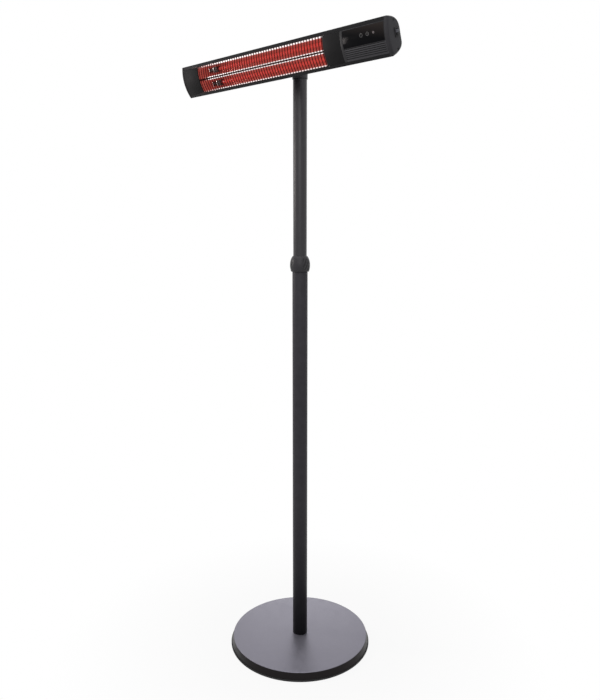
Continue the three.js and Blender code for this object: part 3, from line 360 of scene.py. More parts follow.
def strip_outline(low, high, front, back, steps=24):
    """Strip that follows the face from one height to another, between two insets."""
    return face_line(low, high, front, steps) + face_line(high, low, back, steps)


# ---------------------------------------------------------------- mesh shaping
def merged(bm):
    """Joins the points that lie on each other."""
    bmesh.ops.remove_doubles(bm, verts=bm.verts, dist=MERGE)
    return bm


def outward(bm):
    bmesh.ops.recalc_face_normals(bm, faces=bm.faces)
    return bm


def turned(profile, steps=96):
    """Solid of revolution about Z from a closed profile of (radius, height)."""
    bm = bmesh.new()
    verts = [bm.verts.new((radius, 0, height)) for radius, height in profile]
    for first, second in zip(verts, verts[1:] + verts[:1]):
        bm.edges.new((first, second))
    bmesh.ops.spin(
        bm, geom=bm.verts[:] + bm.edges[:], cent=(0, 0, 0), axis=(0, 0, 1),
        angle=2 * math.pi, steps=steps, use_merge=True,
    )
    merged(bm)
    on_axis = [edge for edge in bm.edges if not edge.link_faces]
    bmesh.ops.delete(bm, geom=on_axis, context="EDGES")
    return outward(bm)


def run_along_x(outline, left, right):
    """Solid with a closed outline of (depth, height), run from left to right."""
    bm = bmesh.new()
    face = bm.faces.new([bm.verts.new((left, depth, height)) for depth, height in outline])
    ends = bmesh.ops.extrude_face_region(bm, geom=[face])["geom"]
    corners = [item for item in ends if isinstance(item, bmesh.types.BMVert)]
    bmesh.ops.translate(bm, verts=corners, vec=(right - left, 0, 0))
    return outward(bm)


def block(low, high):
    bm = bmesh.new()
    size = Vector(high) - Vector(low)
    middle = (Vector(high) + Vector(low)) / 2
    place = Matrix.Translation(middle) @ Matrix.Diagonal((*size, 1))
    bmesh.ops.create_cube(bm, size=1, matrix=place)
    return bm


def rod(radius, start, along, steps=32):
    """Cylinder from a start point along a vector."""
    along = Vector(along)
    turn = along.to_track_quat("Z", "Y").to_matrix().to_4x4()
    place = Matrix.Translation(Vector(start) + along / 2) @ turn
    bm = bmesh.new()
    bmesh.ops.create_cone(
        bm, cap_ends=True, segments=steps, radius1=radius, radius2=radius,
        depth=along.length, matrix=place,
    )
    return bm


def rounded(bm, edges, width, segments):
    bmesh.ops.bevel(
        bm, geom=edges, offset=width, offset_type="OFFSET", segments=segments, profile=0.5,
        affect="EDGES", clamp_overlap=True, material=-1,
    )
    return bm


def soften(bm, width, sharp=28, segments=2):
    """Rounds every edge that is sharper than an angle in degrees."""
    flat = math.radians(0.5)
    bmesh.ops.dissolve_limit(bm, angle_limit=flat, verts=bm.verts, edges=bm.edges)
    sharp = math.radians(sharp)
    edges = [edge for edge in bm.edges if edge.is_manifold and edge.calc_face_angle(0) > sharp]
    return rounded(bm, edges, width, segments)


def joined(first, *others):
    """Adds other meshes to the first, as loose shells."""
    for other in others:
        mesh = bpy.data.meshes.new("part")
        other.to_mesh(mesh)
        other.free()
        first.from_mesh(mesh)
        bpy.data.meshes.remove(mesh)
    return first


def cut_from(base, *tools):
    """Cuts the tools from the base."""
    objects = []
    for name, bm in [("base", base), ("tool", joined(*tools))]:
        mesh = bpy.data.meshes.new(name)
        bm.to_mesh(mesh)
        bm.free()
        objects.append(bpy.data.objects.new(name, mesh))
        bpy.context.scene.collection.objects.link(objects[-1])
    body, tool = objects
    modifier = body.modifiers.new("cut", "BOOLEAN")
    modifier.operation = "DIFFERENCE"
    modifier.solver = "EXACT"
    modifier.object = tool
    result = body.evaluated_get(bpy.context.evaluated_depsgraph_get())
    bm = bmesh.new()
    bm.from_mesh(result.data)
    for item in objects:
        mesh = item.data
        bpy.data.objects.remove(item)
        bpy.data.meshes.remove(mesh)
    if not bm.faces:
        raise RuntimeError("nothing is left after a cut")
    return merged(bm)


def mirrored(bm):
    """The same mesh at the head's other end."""
    bmesh.ops.scale(bm, vec=(-1, 1, 1), verts=bm.verts)
    bmesh.ops.reverse_faces(bm, faces=bm.faces)
    return bm


def placed(bm, matrix):
    bmesh.ops.transform(bm, matrix=matrix, verts=bm.verts)
    return bm


def wire_ring(radius, segments, matrix):
    """Filled circle that a wire starts from."""
    bm = bmesh.new()
    bmesh.ops.create_circle(bm, cap_ends=True, radius=radius, segments=segments)
    return placed(bm, matrix)


def copied(node):
    """Merged copy of a CAD node."""
    bm = bmesh.new()
    bm.from_mesh(frame["nodes"][node].data)
    return merged(bm)


def piece(bm, name, body, finish, nodes=(), smooth=math.radians(30)):
    """Makes a mesh an object that rides on a body and stands for CAD nodes."""
    for face in bm.faces:
        face.smooth = True
    for edge in bm.edges:
        edge.smooth = edge.is_manifold and edge.calc_face_angle(0) < smooth
    mesh = bpy.data.meshes.new(name)
    bm.to_mesh(mesh)
    bm.free()
    made = bpy.data.objects.new(name, mesh)
    bpy.context.scene.collection.objects.link(made)
    mesh.materials.append(material(finish))
    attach(made, body)
    if nodes:
        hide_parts(*nodes)
    return made


def head_piece(bm, name, finish, nodes):
    """Piece of the head, modelled in the head's own frame."""
    return piece(placed(bm, head_matrix()), name, "head", finish, nodes)


def softened_copy(node, name, body, finish, width, sharp=28, segments=2):
    """Piece that is a CAD node with rounded edges."""
    piece(soften(copied(node), width, sharp, segments), name, body, finish, [node])


def finish_nodes(**finishes):
    """Gives carried-over CAD nodes their materials."""
    for node, finish in finishes.items():
        mesh = frame["nodes"][node].data
        mesh.materials.clear()
        mesh.materials.append(material(finish))


# ---------------------------------------------------------------- shader nodes
COLOUR, NUMBER, VECTOR = "NodeSocketColor", "NodeSocketFloat", "NodeSocketVector"
PIT_DEPTH = 0.0002
SCRATCH_DEPTH = 0.0001


def fill(tree, node, values):
    """Sets constants on a node's inputs, and links the values that are sockets."""
    for label, value in values.items():
        socket = node.inputs[label]
        if isinstance(value, bpy.types.NodeSocket):
            tree.links.new(value, socket)
        elif socket.type == "RGBA":
            socket.default_value = (*value[:3], 1)
        else:
            socket.default_value = value
    return node


def add_node(tree, kind, values=None, **settings):
    node = tree.nodes.new("ShaderNode" + kind)
    for name, value in settings.items():
        setattr(node, name, value)
    return fill(tree, node, values or {})


def noise(tree, vector, scale, detail=2.0):
    values = {"Detail": detail, "Vector": vector, "Scale": scale}
    return add_node(tree, "TexNoise", values).outputs["Fac"]


def math_node(tree, operation, first, second=None, clamp=False):
    values = {0: first} if second is None else {0: first, 1: second}
    return add_node(tree, "Math", values, operation=operation, use_clamp=clamp).outputs[0]


def remap(tree, value, from_low, from_high, to_low, to_high):
    values = {"From Min": from_low, "From Max": from_high, "To Min": to_low, "To Max": to_high}
    return add_node(tree, "MapRange", {**values, "Value": value}).outputs["Result"]


def rising(tree, value, start, end):
    """Mask that goes from 0 to 1 between two values."""
    return remap(tree, value, start, end, 0.0, 1.0)


def falling(tree, value, start, end):
    """Mask that goes from 1 to 0 between two values."""
    return remap(tree, value, start, end, 1.0, 0.0)


def mixed(tree, factor, first, second):
    values = {0: factor, 6: first, 7: second}
    return add_node(tree, "Mix", values, data_type="RGBA").outputs[2]


def scaled(shade, share):
    return tuple(share * part for part in shade)


def split(tree, vector):
    return add_node(tree, "SeparateXYZ", {0: vector}).outputs


def object_place(tree):
    return add_node(tree, "TexCoord").outputs["Object"]


def upward(tree):
    """How far the surface looks up."""
    return split(tree, add_node(tree, "NewGeometry").outputs["Normal"])["Z"]


def head_place(tree):
    """Place in the head's own frame, read from object coordinates."""
    inverse = head_matrix().inverted()
    values = {
        "Vector": object_place(tree),
        "Rotation": inverse.to_euler(),
        "Location": inverse.to_translation(),
    }
    return split(tree, add_node(tree, "Mapping", values).outputs["Vector"])


def new_group(name, inputs, outputs):
    """Empty shader group with named sockets; returns it with its given sockets and its end."""
    tree = bpy.data.node_groups.new(name, "ShaderNodeTree")
    for direction, sockets in [("INPUT", inputs), ("OUTPUT", outputs)]:
        for label, kind in sockets.items():
            tree.interface.new_socket(name=label, in_out=direction, socket_type=kind)
    return tree, tree.nodes.new("NodeGroupInput").outputs, tree.nodes.new("NodeGroupOutput")


def texture_group(name, inputs, texture):
    """Group that varies a colour, a roughness and a bumped normal by one texture.

    The texture gives a factor on the colour, a change of the roughness and the bump's
    height, strength and depth.
    """
    if name in bpy.data.node_groups:
        return bpy.data.node_groups[name]
    tree, given, result = new_group(
        name,
        {"Color": COLOUR, "Roughness": NUMBER, **inputs},
        {"Color": COLOUR, "Roughness": NUMBER, "Normal": VECTOR},
    )
    factor, uneven, height, strength, depth = texture(tree, given)
    values = {0: given["Color"], "Scale": factor}
    tint = add_node(tree, "VectorMath", values, operation="SCALE")
    gloss = math_node(tree, "ADD", given["Roughness"], uneven, clamp=True)
    bump = add_node(tree, "Bump", {"Distance": depth, "Strength": strength, "Height": height})
    values = {"Color": tint.outputs[0], "Roughness": gloss, "Normal": bump.outputs["Normal"]}
    fill(tree, result, values)
    return tree


def grain(tree, given):
    """Fine pitted coat: mottled colour, uneven gloss and a pebbled surface."""
    place = object_place(tree)
    fine = noise(tree, place, given["Scale"], 3.0)
    coarse = noise(tree, place, math_node(tree, "MULTIPLY", given["Scale"], 0.03), 4.0)
    low = math_node(tree, "SUBTRACT", 1.0, given["Mottle"])
    high = math_node(tree, "ADD", 1.0, given["Mottle"])
    shade = remap(tree, coarse, 0.3, 0.7, low, high)
    speck = remap(tree, fine, 0.35, 0.65, low, high)
    factor = math_node(tree, "MULTIPLY", shade, speck)
    uneven = remap(tree, coarse, 0.3, 0.7, -0.05, 0.05)
    return factor, uneven, fine, given["Pebble"], PIT_DEPTH


def scratches(tree, given):
    """Fine scratches that run one way."""
    values = {0: object_place(tree), 1: given["Stretch"]}
    spread = add_node(tree, "VectorMath", values, operation="MULTIPLY")
    lines = noise(tree, spread.outputs[0], 1.0, 4.0)
    factor = remap(tree, lines, 0.3, 0.7, 0.85, 1.1)
    uneven = remap(tree, lines, 0.3, 0.7, -0.06, 0.06)
    return factor, uneven, lines, given["Scratch"], SCRATCH_DEPTH


def grained(tree, **values):
    inputs = {"Scale": NUMBER, "Mottle": NUMBER, "Pebble": NUMBER}
    group = texture_group("Coat grain", inputs, grain)
    return add_node(tree, "Group", values, node_tree=group).outputs


def brushed(tree, **values):
    inputs = {"Stretch": VECTOR, "Scratch": NUMBER}
    group = texture_group("Brushed metal", inputs, scratches)
    return add_node(tree, "Group", values, node_tree=group).outputs


def dust_group():
    """Thin pale dust on faces that look up, broken by noise."""
    name = "Settled dust"
    if name in bpy.data.node_groups:
        return bpy.data.node_groups[name]
    tree, given, result = new_group(
        name,
        {"Color": COLOUR, "Roughness": NUMBER, "Dust": COLOUR, "Amount": NUMBER},
        {"Color": COLOUR, "Roughness": NUMBER},
    )
    looks_up = rising(tree, upward(tree), 0.35, 0.95)
    patchy = remap(tree, noise(tree, object_place(tree), 9.0, 5.0), 0.35, 0.7, 0.25, 1.0)
    cover = math_node(tree, "MULTIPLY", looks_up, patchy)
    cover = math_node(tree, "MULTIPLY", cover, given["Amount"], clamp=True)
    shade = mixed(tree, cover, given["Color"], given["Dust"])
    duller = math_node(tree, "MULTIPLY", cover, 0.35)
    gloss = math_node(tree, "ADD", given["Roughness"], duller, clamp=True)
    fill(tree, result, {"Color": shade, "Roughness": gloss})
    return tree


# ---------------------------------------------------------------- materials
SPECULAR = "Specular IOR Level"
SCRATCH = 0.25  # strength of the scratches on plain metal
DUST_TINT, DUST_LIFT = 0.7, 0.08  # dust keeps so much of a coat's shade, and is paler by this
FADE = 0.001  # painted edges run over this
SPOT = 0.009  # length of the painted shade spot before the flat strips
RIDGE_PAINT = 0.009  # the painted lamp glow on the ridge reaches this far from its middle
DIM = 0.31  # of the lamps' glow, painted on the troughs
COLD_END = 0.010  # length of the lamps' dark end
COLD_FADE = 0.006

# Shade or finish, roughness, grain scale, mottle, pebble, dust, other constants.
COATS = {
    "Pole coat": ("pole", 0.40, 1400.0, 0.10, 0.25, 0.0, {SPECULAR: 0.4}),
    "Lower pole coat": ("lower_pole", 0.42, 1400.0, 0.10, 0.25, 0.0, {SPECULAR: 0.12}),
    "Collar coat": ("pole", 0.42, 1400.0, 0.10, 0.25, 0.0, {SPECULAR: 0.3}),
    "Foot coat": ("foot", 0.42, 1500.0, 0.04, 0.25, 0.05, {SPECULAR: 0.2, "Metallic": 0.62}),
    "Housing coat": ("housing", 0.45, 1600.0, 0.10, 0.30, 0.10, {SPECULAR: 0.15}),
    "Plate coat": ("plate", 0.50, 1600.0, 0.08, 0.30, 0.10, {SPECULAR: 0.06}),
    "Cap plastic": ("cap", 0.50, 1600.0, 0.08, 0.30, 0.10, {SPECULAR: 0.15}),
    "Cover plastic": ("cover", 0.45, 1800.0, 0.06, 0.20, 0.0, {SPECULAR: 0.2}),
    "Black plastic": ("black", 0.38, 1800.0, 0.10, 0.25, 0.0, {SPECULAR: 0.25}),
    "Rocker plastic": ("black", 0.30, 900.0, 0.05, 0.05, 0.0, {SPECULAR: 0.1}),
    "Rubber": ("rubber", 0.78, 700.0, 0.18, 0.45, 0.0, {}),
    "Cast stone": ((0.30, 0.29, 0.27), 0.9, 300.0, 0.25, 0.8, 0.0, {}),
    "Cream plastic": ((0.60, 0.56, 0.46), 0.5, 900.0, 0.05, 0.15, 0.0, {}),
    "Board resin": ((0.02, 0.11, 0.04), 0.4, 500.0, 0.20, 0.20, 0.0, {}),
    "Lead sleeve": ((0.58, 0.54, 0.48), 0.6, 2500.0, 0.12, 0.50, 0.0, {}),
    "Ceramic": ("ceramic", 0.6, 900.0, 0.20, 0.50, 0.0, {}),
    "Panel print": ((0.16, 0.155, 0.155), 0.5, 1200.0, 0.10, 0.05, 0.0, {}),
    "Smoked lens": ((0.16, 0.125, 0.13), 0.15, 400.0, 0.10, 0.02, 0.0, {"Coat Weight": 0.5}),
}

# Shade or finish, roughness, stretch of the scratches along x, y and z.
METALS = {
    "Zinc plate": ("steel", 0.34, (900.0, 90.0, 900.0)),
    "Blackened steel": ((0.03, 0.03, 0.032), 0.38, (900.0, 900.0, 900.0)),
    # Painted light: the guard wire's dark red stands in for the lamps' red light on it.
    "Guard wire": ((0.055, 0.008, 0.008), 0.45, (300.0, 1200.0, 1200.0)),
    "Clip steel": ((0.55, 0.52, 0.50), 0.30, (1200.0, 200.0, 1200.0)),
}


def shade_of(shade):
    """A colour as it is, or the finish setting that a name stands for."""
    return getattr(sizes("finish"), shade) if isinstance(shade, str) else shade


def new_material(name, constants):
    """Material with a Principled shader and its constant values."""
    made = bpy.data.materials.new(name)
    made.use_nodes = True
    tree = made.node_tree
    return tree, fill(tree, tree.nodes["Principled BSDF"], constants)


def dress(tree, shader, surface, normal):
    """Links a surface's colour, gloss and normal to the shader."""
    colour_and_gloss = {"Base Color": surface["Color"], "Roughness": surface["Roughness"]}
    fill(tree, shader, {**colour_and_gloss, "Normal": normal})


def coat(name):
    """Painted or moulded surface with grain, and dust where it looks up."""
    shade, roughness, scale, mottle, pebble, dust, constants = COATS[name]
    shade = shade_of(shade)
    tree, shader = new_material(name, constants)
    paint = PAINTS[name](tree, sizes("finish")) if name in PAINTS else shade
    surface = texture = grained(
        tree, Color=paint, Roughness=roughness, Scale=scale, Mottle=mottle, Pebble=pebble
    )
    if dust:
        pale = tuple(DUST_TINT * part + DUST_LIFT for part in shade)
        values = {label: texture[label] for label in ("Color", "Roughness")}
        values.update(Dust=pale, Amount=dust)
        surface = add_node(tree, "Group", values, node_tree=dust_group()).outputs
    dress(tree, shader, surface, texture["Normal"])


def metal(name):
    """Bare or plated metal with fine scratches."""
    shade, roughness, stretch = METALS[name]
    tree, shader = new_material(name, {"Metallic": 1.0})
    values = {"Color": shade_of(shade), "Roughness": roughness, "Stretch": stretch}
    lines = brushed(tree, Scratch=SCRATCH, **values)
    dress(tree, shader, lines, lines["Normal"])


def material(name):
    """Material by its name, made on first use."""
    if name not in bpy.data.materials:
        if name in COATS:
            coat(name)
        elif name in METALS:
            metal(name)
        else:
            LIT[name](name, sizes("finish"))
    return bpy.data.materials[name]


# ---------------------------------------------------------------- painted colours, painted light and shade
def shade_towards_foot(tree, finish):
    """Painted shade: the lower tube's coat darkens towards the foot, where less light falls."""
    above = rising(tree, split(tree, object_place(tree))["Z"], 0.03, 0.55)
    return mixed(tree, above, finish.groove, finish.lower_pole)


def grip_groove_shade(tree, finish):
    """Painted shade: the collar's coat is darker in the grooves of its grips."""
    groove = add_node(tree, "Attribute", attribute_name="groove").outputs["Fac"]
    return mixed(tree, rising(tree, groove, 0.15, 0.75), finish.pole, finish.groove)


def lit_top_shaded_side(tree, finish):
    """Painted light and shade: satin grey where the foot looks up and near black on its side
    wall, lit and shaded copies of one coat.
    """
    return mixed(tree, rising(tree, upward(tree), 0.45, 0.80), finish.foot_side, finish.foot)


def charcoal_end(tree, finish):
    """Dark lips; the housing's end beside the left plate is charcoal."""
    window = head_box("front_plate_left")[1].x
    left = falling(tree, head_place(tree)["X"], window - FADE, window)
    return mixed(tree, left, finish.housing, finish.plate)


def rib_shade_and_highlight(tree, finish):
    """Charcoal plastic with painted shade at the bottom of its grooves and a painted highlight
    on the ribs.
    """
    place = head_place(tree)
    centre = face_radius() - sizes("head").bulge
    behind = math_node(tree, "SUBTRACT", place["Y"], centre)
    away = math_node(tree, "POWER", behind, 2.0)
    across = math_node(tree, "POWER", place["Z"], 2.0)
    radius = math_node(tree, "SQRT", math_node(tree, "ADD", away, across))
    sunk = math_node(tree, "SUBTRACT", face_radius(), radius)
    deep = rising(tree, sunk, 0.0003, 0.0009)
    low = head_box("touch_panel")[0]
    below = falling(tree, place["Z"], low.z - FADE, low.z)
    inside = rising(tree, place["X"], low.x, low.x + FADE)
    ribbed = math_node(tree, "MULTIPLY", below, inside)
    # Painted highlight: the ribs below the panel are paler than the cover.
    pale = scaled(finish.cover, 3.0)
    ridge = mixed(tree, ribbed, finish.cover, pale)
    # Painted shade at the bottom of the grooves.
    return mixed(tree, deep, ridge, finish.groove)


def rocker_painted_highlight(tree, finish):
    """Polished plastic with a painted highlight: grey on the rocker's upper half, which faces
    the light.
    """
    low, high = head_box("power_rocker")
    middle = (low.z + high.z - FADE) / 2
    upper = rising(tree, head_place(tree)["Z"], middle, middle + FADE)
    # Painted highlight: the upper half is a lit copy of the black.
    grey = scaled(finish.black, 13)
    return mixed(tree, upper, finish.black, grey)


PAINTS = {
    "Lower pole coat": shade_towards_foot,
    "Collar coat": grip_groove_shade,
    "Foot coat": lit_top_shaded_side,
    "Housing coat": charcoal_end,
    "Cover plastic": rib_shade_and_highlight,
    "Rocker plastic": rocker_painted_highlight,
}


def reflector(name, finish):
    """Polished aluminium with painted lamplight: the troughs carry the red light of the lamps as
    tint and glow.

    The flat strips glow pale as painted highlights. They start inside the window behind a spot
    of painted shade, and the outer ones are fainter at their left end. A painted dark seam runs
    between the strips, and the reflector is painted dark behind the right plate.
    """
    lamp = sizes("lamp")
    tree, shader = new_material(name, {"Metallic": 1.0, "Emission Strength": 0.6})
    stretch = (20.0, 1500.0, 1500.0)
    lines = brushed(tree, Color=finish.reflector, Roughness=0.16, Stretch=stretch, Scratch=0.12)
    along, depth, height = head_place(tree)
    low, high = head_box("guard_grille")
    left = low.x
    start = left + lamp.strip_start
    outer = rising(tree, depth, lamp.trough_mouth - FADE, lamp.trough_mouth)
    behind_strips = lamp.ridge_front + 0.0006
    ridge = rising(tree, depth, behind_strips, behind_strips + 0.0008)
    away = math_node(tree, "ABSOLUTE", math_node(tree, "SUBTRACT", height, lamp.ridge_height))
    middle = falling(tree, away, RIDGE_PAINT, RIDGE_PAINT + FADE)
    trough = math_node(tree, "MAXIMUM", outer, math_node(tree, "MULTIPLY", ridge, middle))
    before = falling(tree, along, start, start + FADE)
    fainter = remap(tree, along, left + 0.03, left + 0.11, 0.8, 0.0)
    trough = math_node(tree, "MAXIMUM", trough, mixed(tree, middle, fainter, before))
    # Painted shade: the seam between the strips, the spot before them and the part behind the
    # right plate are dark and do not glow.
    seam_edge = lamp.strip_inner - 0.0009
    seam = falling(tree, away, seam_edge, seam_edge + 0.0007)
    spot = rising(tree, along, start - SPOT, start - SPOT + FADE)
    spot = math_node(tree, "MULTIPLY", spot, before)
    near = falling(tree, away, lamp.strip_outer, lamp.strip_outer + FADE / 2)
    dark = math_node(tree, "MAXIMUM", seam, math_node(tree, "MULTIPLY", spot, near))
    behind_plate = rising(tree, along, high.x, high.x + FADE)
    dark = math_node(tree, "MAXIMUM", dark, behind_plate)
    # Painted light: the troughs take the lamps' red tint and glow, the strips a pale glint.
    shade = mixed(tree, trough, lines["Color"], finish.trough)
    glow = mixed(tree, trough, finish.glint, scaled(finish.glow, DIM))
    fill(tree, shader, {
        "Base Color": mixed(tree, dark, shade, finish.groove),
        "Roughness": lines["Roughness"],
        "Normal": lines["Normal"],
        "Emission Color": mixed(tree, dark, glow, (0, 0, 0)),
    })


def ruby_quartz(name, finish):
    """Red quartz tube, lit from inside by the coil but for its cold left end."""
    tree, shader = new_material(name, {
        "Roughness": 0.2, "Transmission Weight": 0.4, "IOR": 1.45, SPECULAR: 0.05,
        "Emission Strength": 0.26,
    })
    place = object_place(tree)
    cloudy = noise(tree, place, 60.0, 3.0)
    values = {"Scale": 80.0, "Distortion": 0.6, "Detail": 1.0, "Vector": place}
    bands = add_node(tree, "TexWave", values).outputs["Fac"]
    light = mixed(tree, bands, scaled(finish.glow, 0.7), finish.glow)
    end = head_box("lamp_tube_upper")[0].x + COLD_END
    cold = falling(tree, head_place(tree)["X"], end, end + COLD_FADE)
    fill(tree, shader, {
        "Base Color": mixed(tree, cloudy, finish.ruby, scaled(finish.ruby, 0.8)),
        "Emission Color": mixed(tree, cold, light, (0.02, 0.001, 0.001)),
    })


def hot_coil(name, finish):
    """Glowing wire, a little brighter in places."""
    tree, shader = new_material(name, {"Roughness": 0.5, "Emission Strength": 0.8})
    patchy = noise(tree, object_place(tree), 35.0, 2.0)
    shade = mixed(tree, patchy, finish.coil, scaled(finish.coil, 0.75))
    fill(tree, shader, {"Base Color": shade, "Emission Color": shade})


def gloss_panel(name, finish):
    """Polished black panel with a painted warm sheen towards its upper right corner."""
    tree, shader = new_material(name, {SPECULAR: 0.02})
    low, high = head_box("touch_panel")
    place = head_place(tree)
    across = rising(tree, place["X"], low.x, high.x)
    above = remap(tree, place["Z"], low.z, high.z, -0.55, 0.75)
    sheen = rising(tree, math_node(tree, "ADD", across, above), 0.55, 1.6)
    smear = noise(tree, object_place(tree), 30.0, 4.0)
    fill(tree, shader, {
        "Base Color": mixed(tree, sheen, finish.panel, finish.panel_sheen),
        "Roughness": remap(tree, smear, 0.3, 0.7, 0.10, 0.20),
    })


LIT = {
    "Reflector": reflector,
    "Ruby quartz": ruby_quartz,
    "Hot coil": hot_coil,
    "Gloss panel": gloss_panel,
}


# ---------------------------------------------------------------- foot
class HEATER_OT_foot(Operator):
    """Model the weighted foot: cover, rubber ring and what closes it below"""

    bl_idname = "heater.foot"
    bl_label = "Foot"

    def execute(self, context):
        foot = sizes("foot")
        self.cover(foot)
        self.trim(foot)
        steel = "Zinc plate"
        finish_nodes(
            base_plate=steel, base_washer=steel, base_bolt=steel, ballast_disc="Cast stone"
        )
        for node in frame["nodes"]:
            if node.startswith("base_screw_"):
                softened_copy(node, node + "_head", "stand", steel, 0.0003)
        return {"FINISHED"}

    def cover(self, foot):
        low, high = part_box("base_cover")
        outer = foot.top_radius + foot.flare
        under = high.z - foot.wall
        middle = foot.top_radius - foot.edge
        edge = arc((middle, high.z - foot.edge), foot.edge, 0, QUARTER, 8)
        trim_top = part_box("base_edge_trim")[1].z
        profile = [(outer - foot.wall, low.z), (outer, low.z), (outer, trim_top), *edge]
        profile += [(foot.bolt_hole, high.z), (foot.bolt_hole, under)]
        profile += [(middle, under), (outer - foot.wall, trim_top)]
        bm = turned(profile, 160)
        piece(bm, "foot_cover", "stand", "Foot coat", ["base_cover"])

    def trim(self, foot):
        low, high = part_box("base_edge_trim")
        outer = high.x
        inner = outer - foot.trim_width
        wall = foot.top_radius + foot.flare + sizes("face").gap
        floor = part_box("base_cover")[0].z
        edge = foot.trim_edge
        profile = [(inner, low.z), *arc((outer - edge, low.z + edge), edge, -QUARTER, 0, 5)]
        profile += arc((outer - edge / 2, high.z - edge / 2), edge / 2, 0, QUARTER, 3)
        profile += [(wall, high.z), (wall, floor), (inner, floor)]
        bm = turned(profile, 160)
        piece(bm, "foot_trim", "stand", "Rubber", ["base_edge_trim"])


# ---------------------------------------------------------------- pole
class HEATER_OT_pole(Operator):
    """Model the two tubes of the pole and finish what joins them"""

    bl_idname = "heater.pole"
    bl_label = "Pole"

    def execute(self, context):
        self.tube("lower_tube", "stand", "Lower pole coat")
        self.tube("upper_tube", "mast", "Pole coat")
        finish_nodes(
            tube_foot_plug="Zinc plate", collet="Black plastic", slide_bush="Cream plastic"
        )
        return {"FINISHED"}

    def tube(self, node, body, finish):
        pole = sizes("pole")
        low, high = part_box(node)
        edge = pole.tube_edge
        bore = high.x - pole.wall
        profile = arc((high.x - edge, low.z + edge), edge, -QUARTER, 0, 3)
        profile += arc((high.x - edge, high.z - edge), edge, 0, QUARTER, 3)
        bm = turned(profile + [(bore, high.z), (bore, low.z)])
        piece(bm, node + "_coated", body, finish, [node])


class HEATER_OT_collar(Operator):
    """Model the twist-lock collar with its ribbed grip panels"""

    bl_idname = "heater.collar"
    bl_label = "Lock collar"

    play = 0.0003  # round the collet
    bore_play = 0.0004  # round the upper tube
    seat = 0.0025  # width of the seat on top of the collet
    skirt_height = 0.018  # straight skirt above the collet's foot
    side_fade = 0.0015  # the grooves run out over this at a panel's sides
    end_fade = 0.002  # and over this at its ends
    sharpness = 1.5  # the grooves are narrower than the ribs
    sunk_share = 0.15  # of the depth, over the whole panel
    upper_margin = 1.6  # smooth band above the panels, of the one below
    inside = 0.001  # what is nearer to the collet than this belongs to the bore

    def execute(self, context):
        bm = turned(self.profile(), 240)
        self.rib(bm)
        piece(bm, "twist_lock", "lock_collar", "Collar coat", ["lock_collar"])
        return {"FINISHED"}

    def outside(self, bore):
        """Points from the collar's foot up its belly and shoulder to the rim."""
        pole = sizes("pole")
        low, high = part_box("lock_collar")
        belly = high.x
        height = high.z - low.z
        bend = (pole.belly_height**2 + pole.bulge**2) / (2 * pole.bulge)
        side = []
        steps = 20
        for step in range(steps + 1):
            level = (height - pole.shoulder_drop) * step / steps
            away = level - pole.belly_height
            radius = belly - bend + math.sqrt(bend**2 - away**2)
            side.append((radius, low.z + level))
        foot_radius = belly - pole.bulge
        start = Vector(side[-1])
        pull = Vector((foot_radius - pole.shoulder_in, high.z - pole.shoulder_down))
        end = Vector((bore + pole.rim_lip, high.z))
        steps = 12
        for step in range(1, steps + 1):
            near = step / steps
            place = start * (1 - near) ** 2 + pull * 2 * near * (1 - near) + end * near**2
            side.append(tuple(place))
        return side

    def profile(self):
        low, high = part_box("lock_collar")
        collet_low, collet_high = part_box("collet")
        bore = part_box("upper_tube")[1].x + self.bore_play
        skirt = collet_high.x + self.play
        roof = collet_high.z + self.play
        return self.outside(bore) + [
            (bore, high.z),
            (bore, roof),
            (bore + self.seat, roof),
            (skirt, collet_low.z + self.skirt_height),
            (skirt, low.z),
        ]

    def rib(self, bm):
        """Sinks slanting grooves into the grip panels of the outer surface."""
        pole = sizes("pole")
        low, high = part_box("lock_collar")
        belly = high.x
        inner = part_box("collet")[1].x + self.inside
        half = pole.grip_width / 2
        share = 2 * math.pi / pole.grips
        top = high.z - low.z - pole.grip_margin * self.upper_margin
        # The groove layer also tells the collar's material where to paint shade.
        groove = bm.verts.layers.float.new("groove")
        for vertex in bm.verts:
            radius = math.hypot(vertex.co.x, vertex.co.y)
            turn = math.atan2(vertex.co.y, vertex.co.x) - pole.grip_turn
            away = (turn + share / 2) % share - share / 2
            level = vertex.co.z - low.z
            if radius < inner or not pole.grip_margin < level < top or abs(away) > half:
                continue
            side = min(1.0, (half - abs(away)) * belly / self.side_fade)
            end = min(level - pole.grip_margin, top - level)
            panel = side * min(1.0, end / self.end_fade)
            run = away * belly * math.sin(pole.rib_slant) - level * math.cos(pole.rib_slant)
            wave = 0.5 + 0.5 * math.cos(2 * math.pi * run / pole.rib_pitch)
            vertex[groove] = panel * wave**self.sharpness
            depth = self.sunk_share * panel + (1 - self.sunk_share) * vertex[groove]
            scale = (radius - pole.rib_depth * depth) / radius
            vertex.co.x *= scale
            vertex.co.y *= scale


# ---------------------------------------------------------------- tilt joint
class HEATER_OT_tilt_joint(Operator):
    """Model the mast cap, the head's bracket, the knob and their fasteners"""

    bl_idname = "heater.tilt_joint"
    bl_label = "Tilt joint"

    def execute(self, context):
        paint, steel, black = "Pole coat", "Zinc plate", "Black plastic"
        softened_copy("mast_cap", "mast_fork", "mast", paint, 0.0007)
        softened_copy("tilt_bracket", "head_bracket", "head", paint, 0.0006)
        softened_copy("tilt_bolt", "pivot_bolt", "mast", steel, 0.0004)
        softened_copy("tilt_knob", "clamp_knob", "tilt_knob", black, 0.0004, 40)
        for node in ("bracket_screw_left", "bracket_screw_right"):
            softened_copy(node, node + "_head", "head", steel, 0.0005)
        return {"FINISHED"}


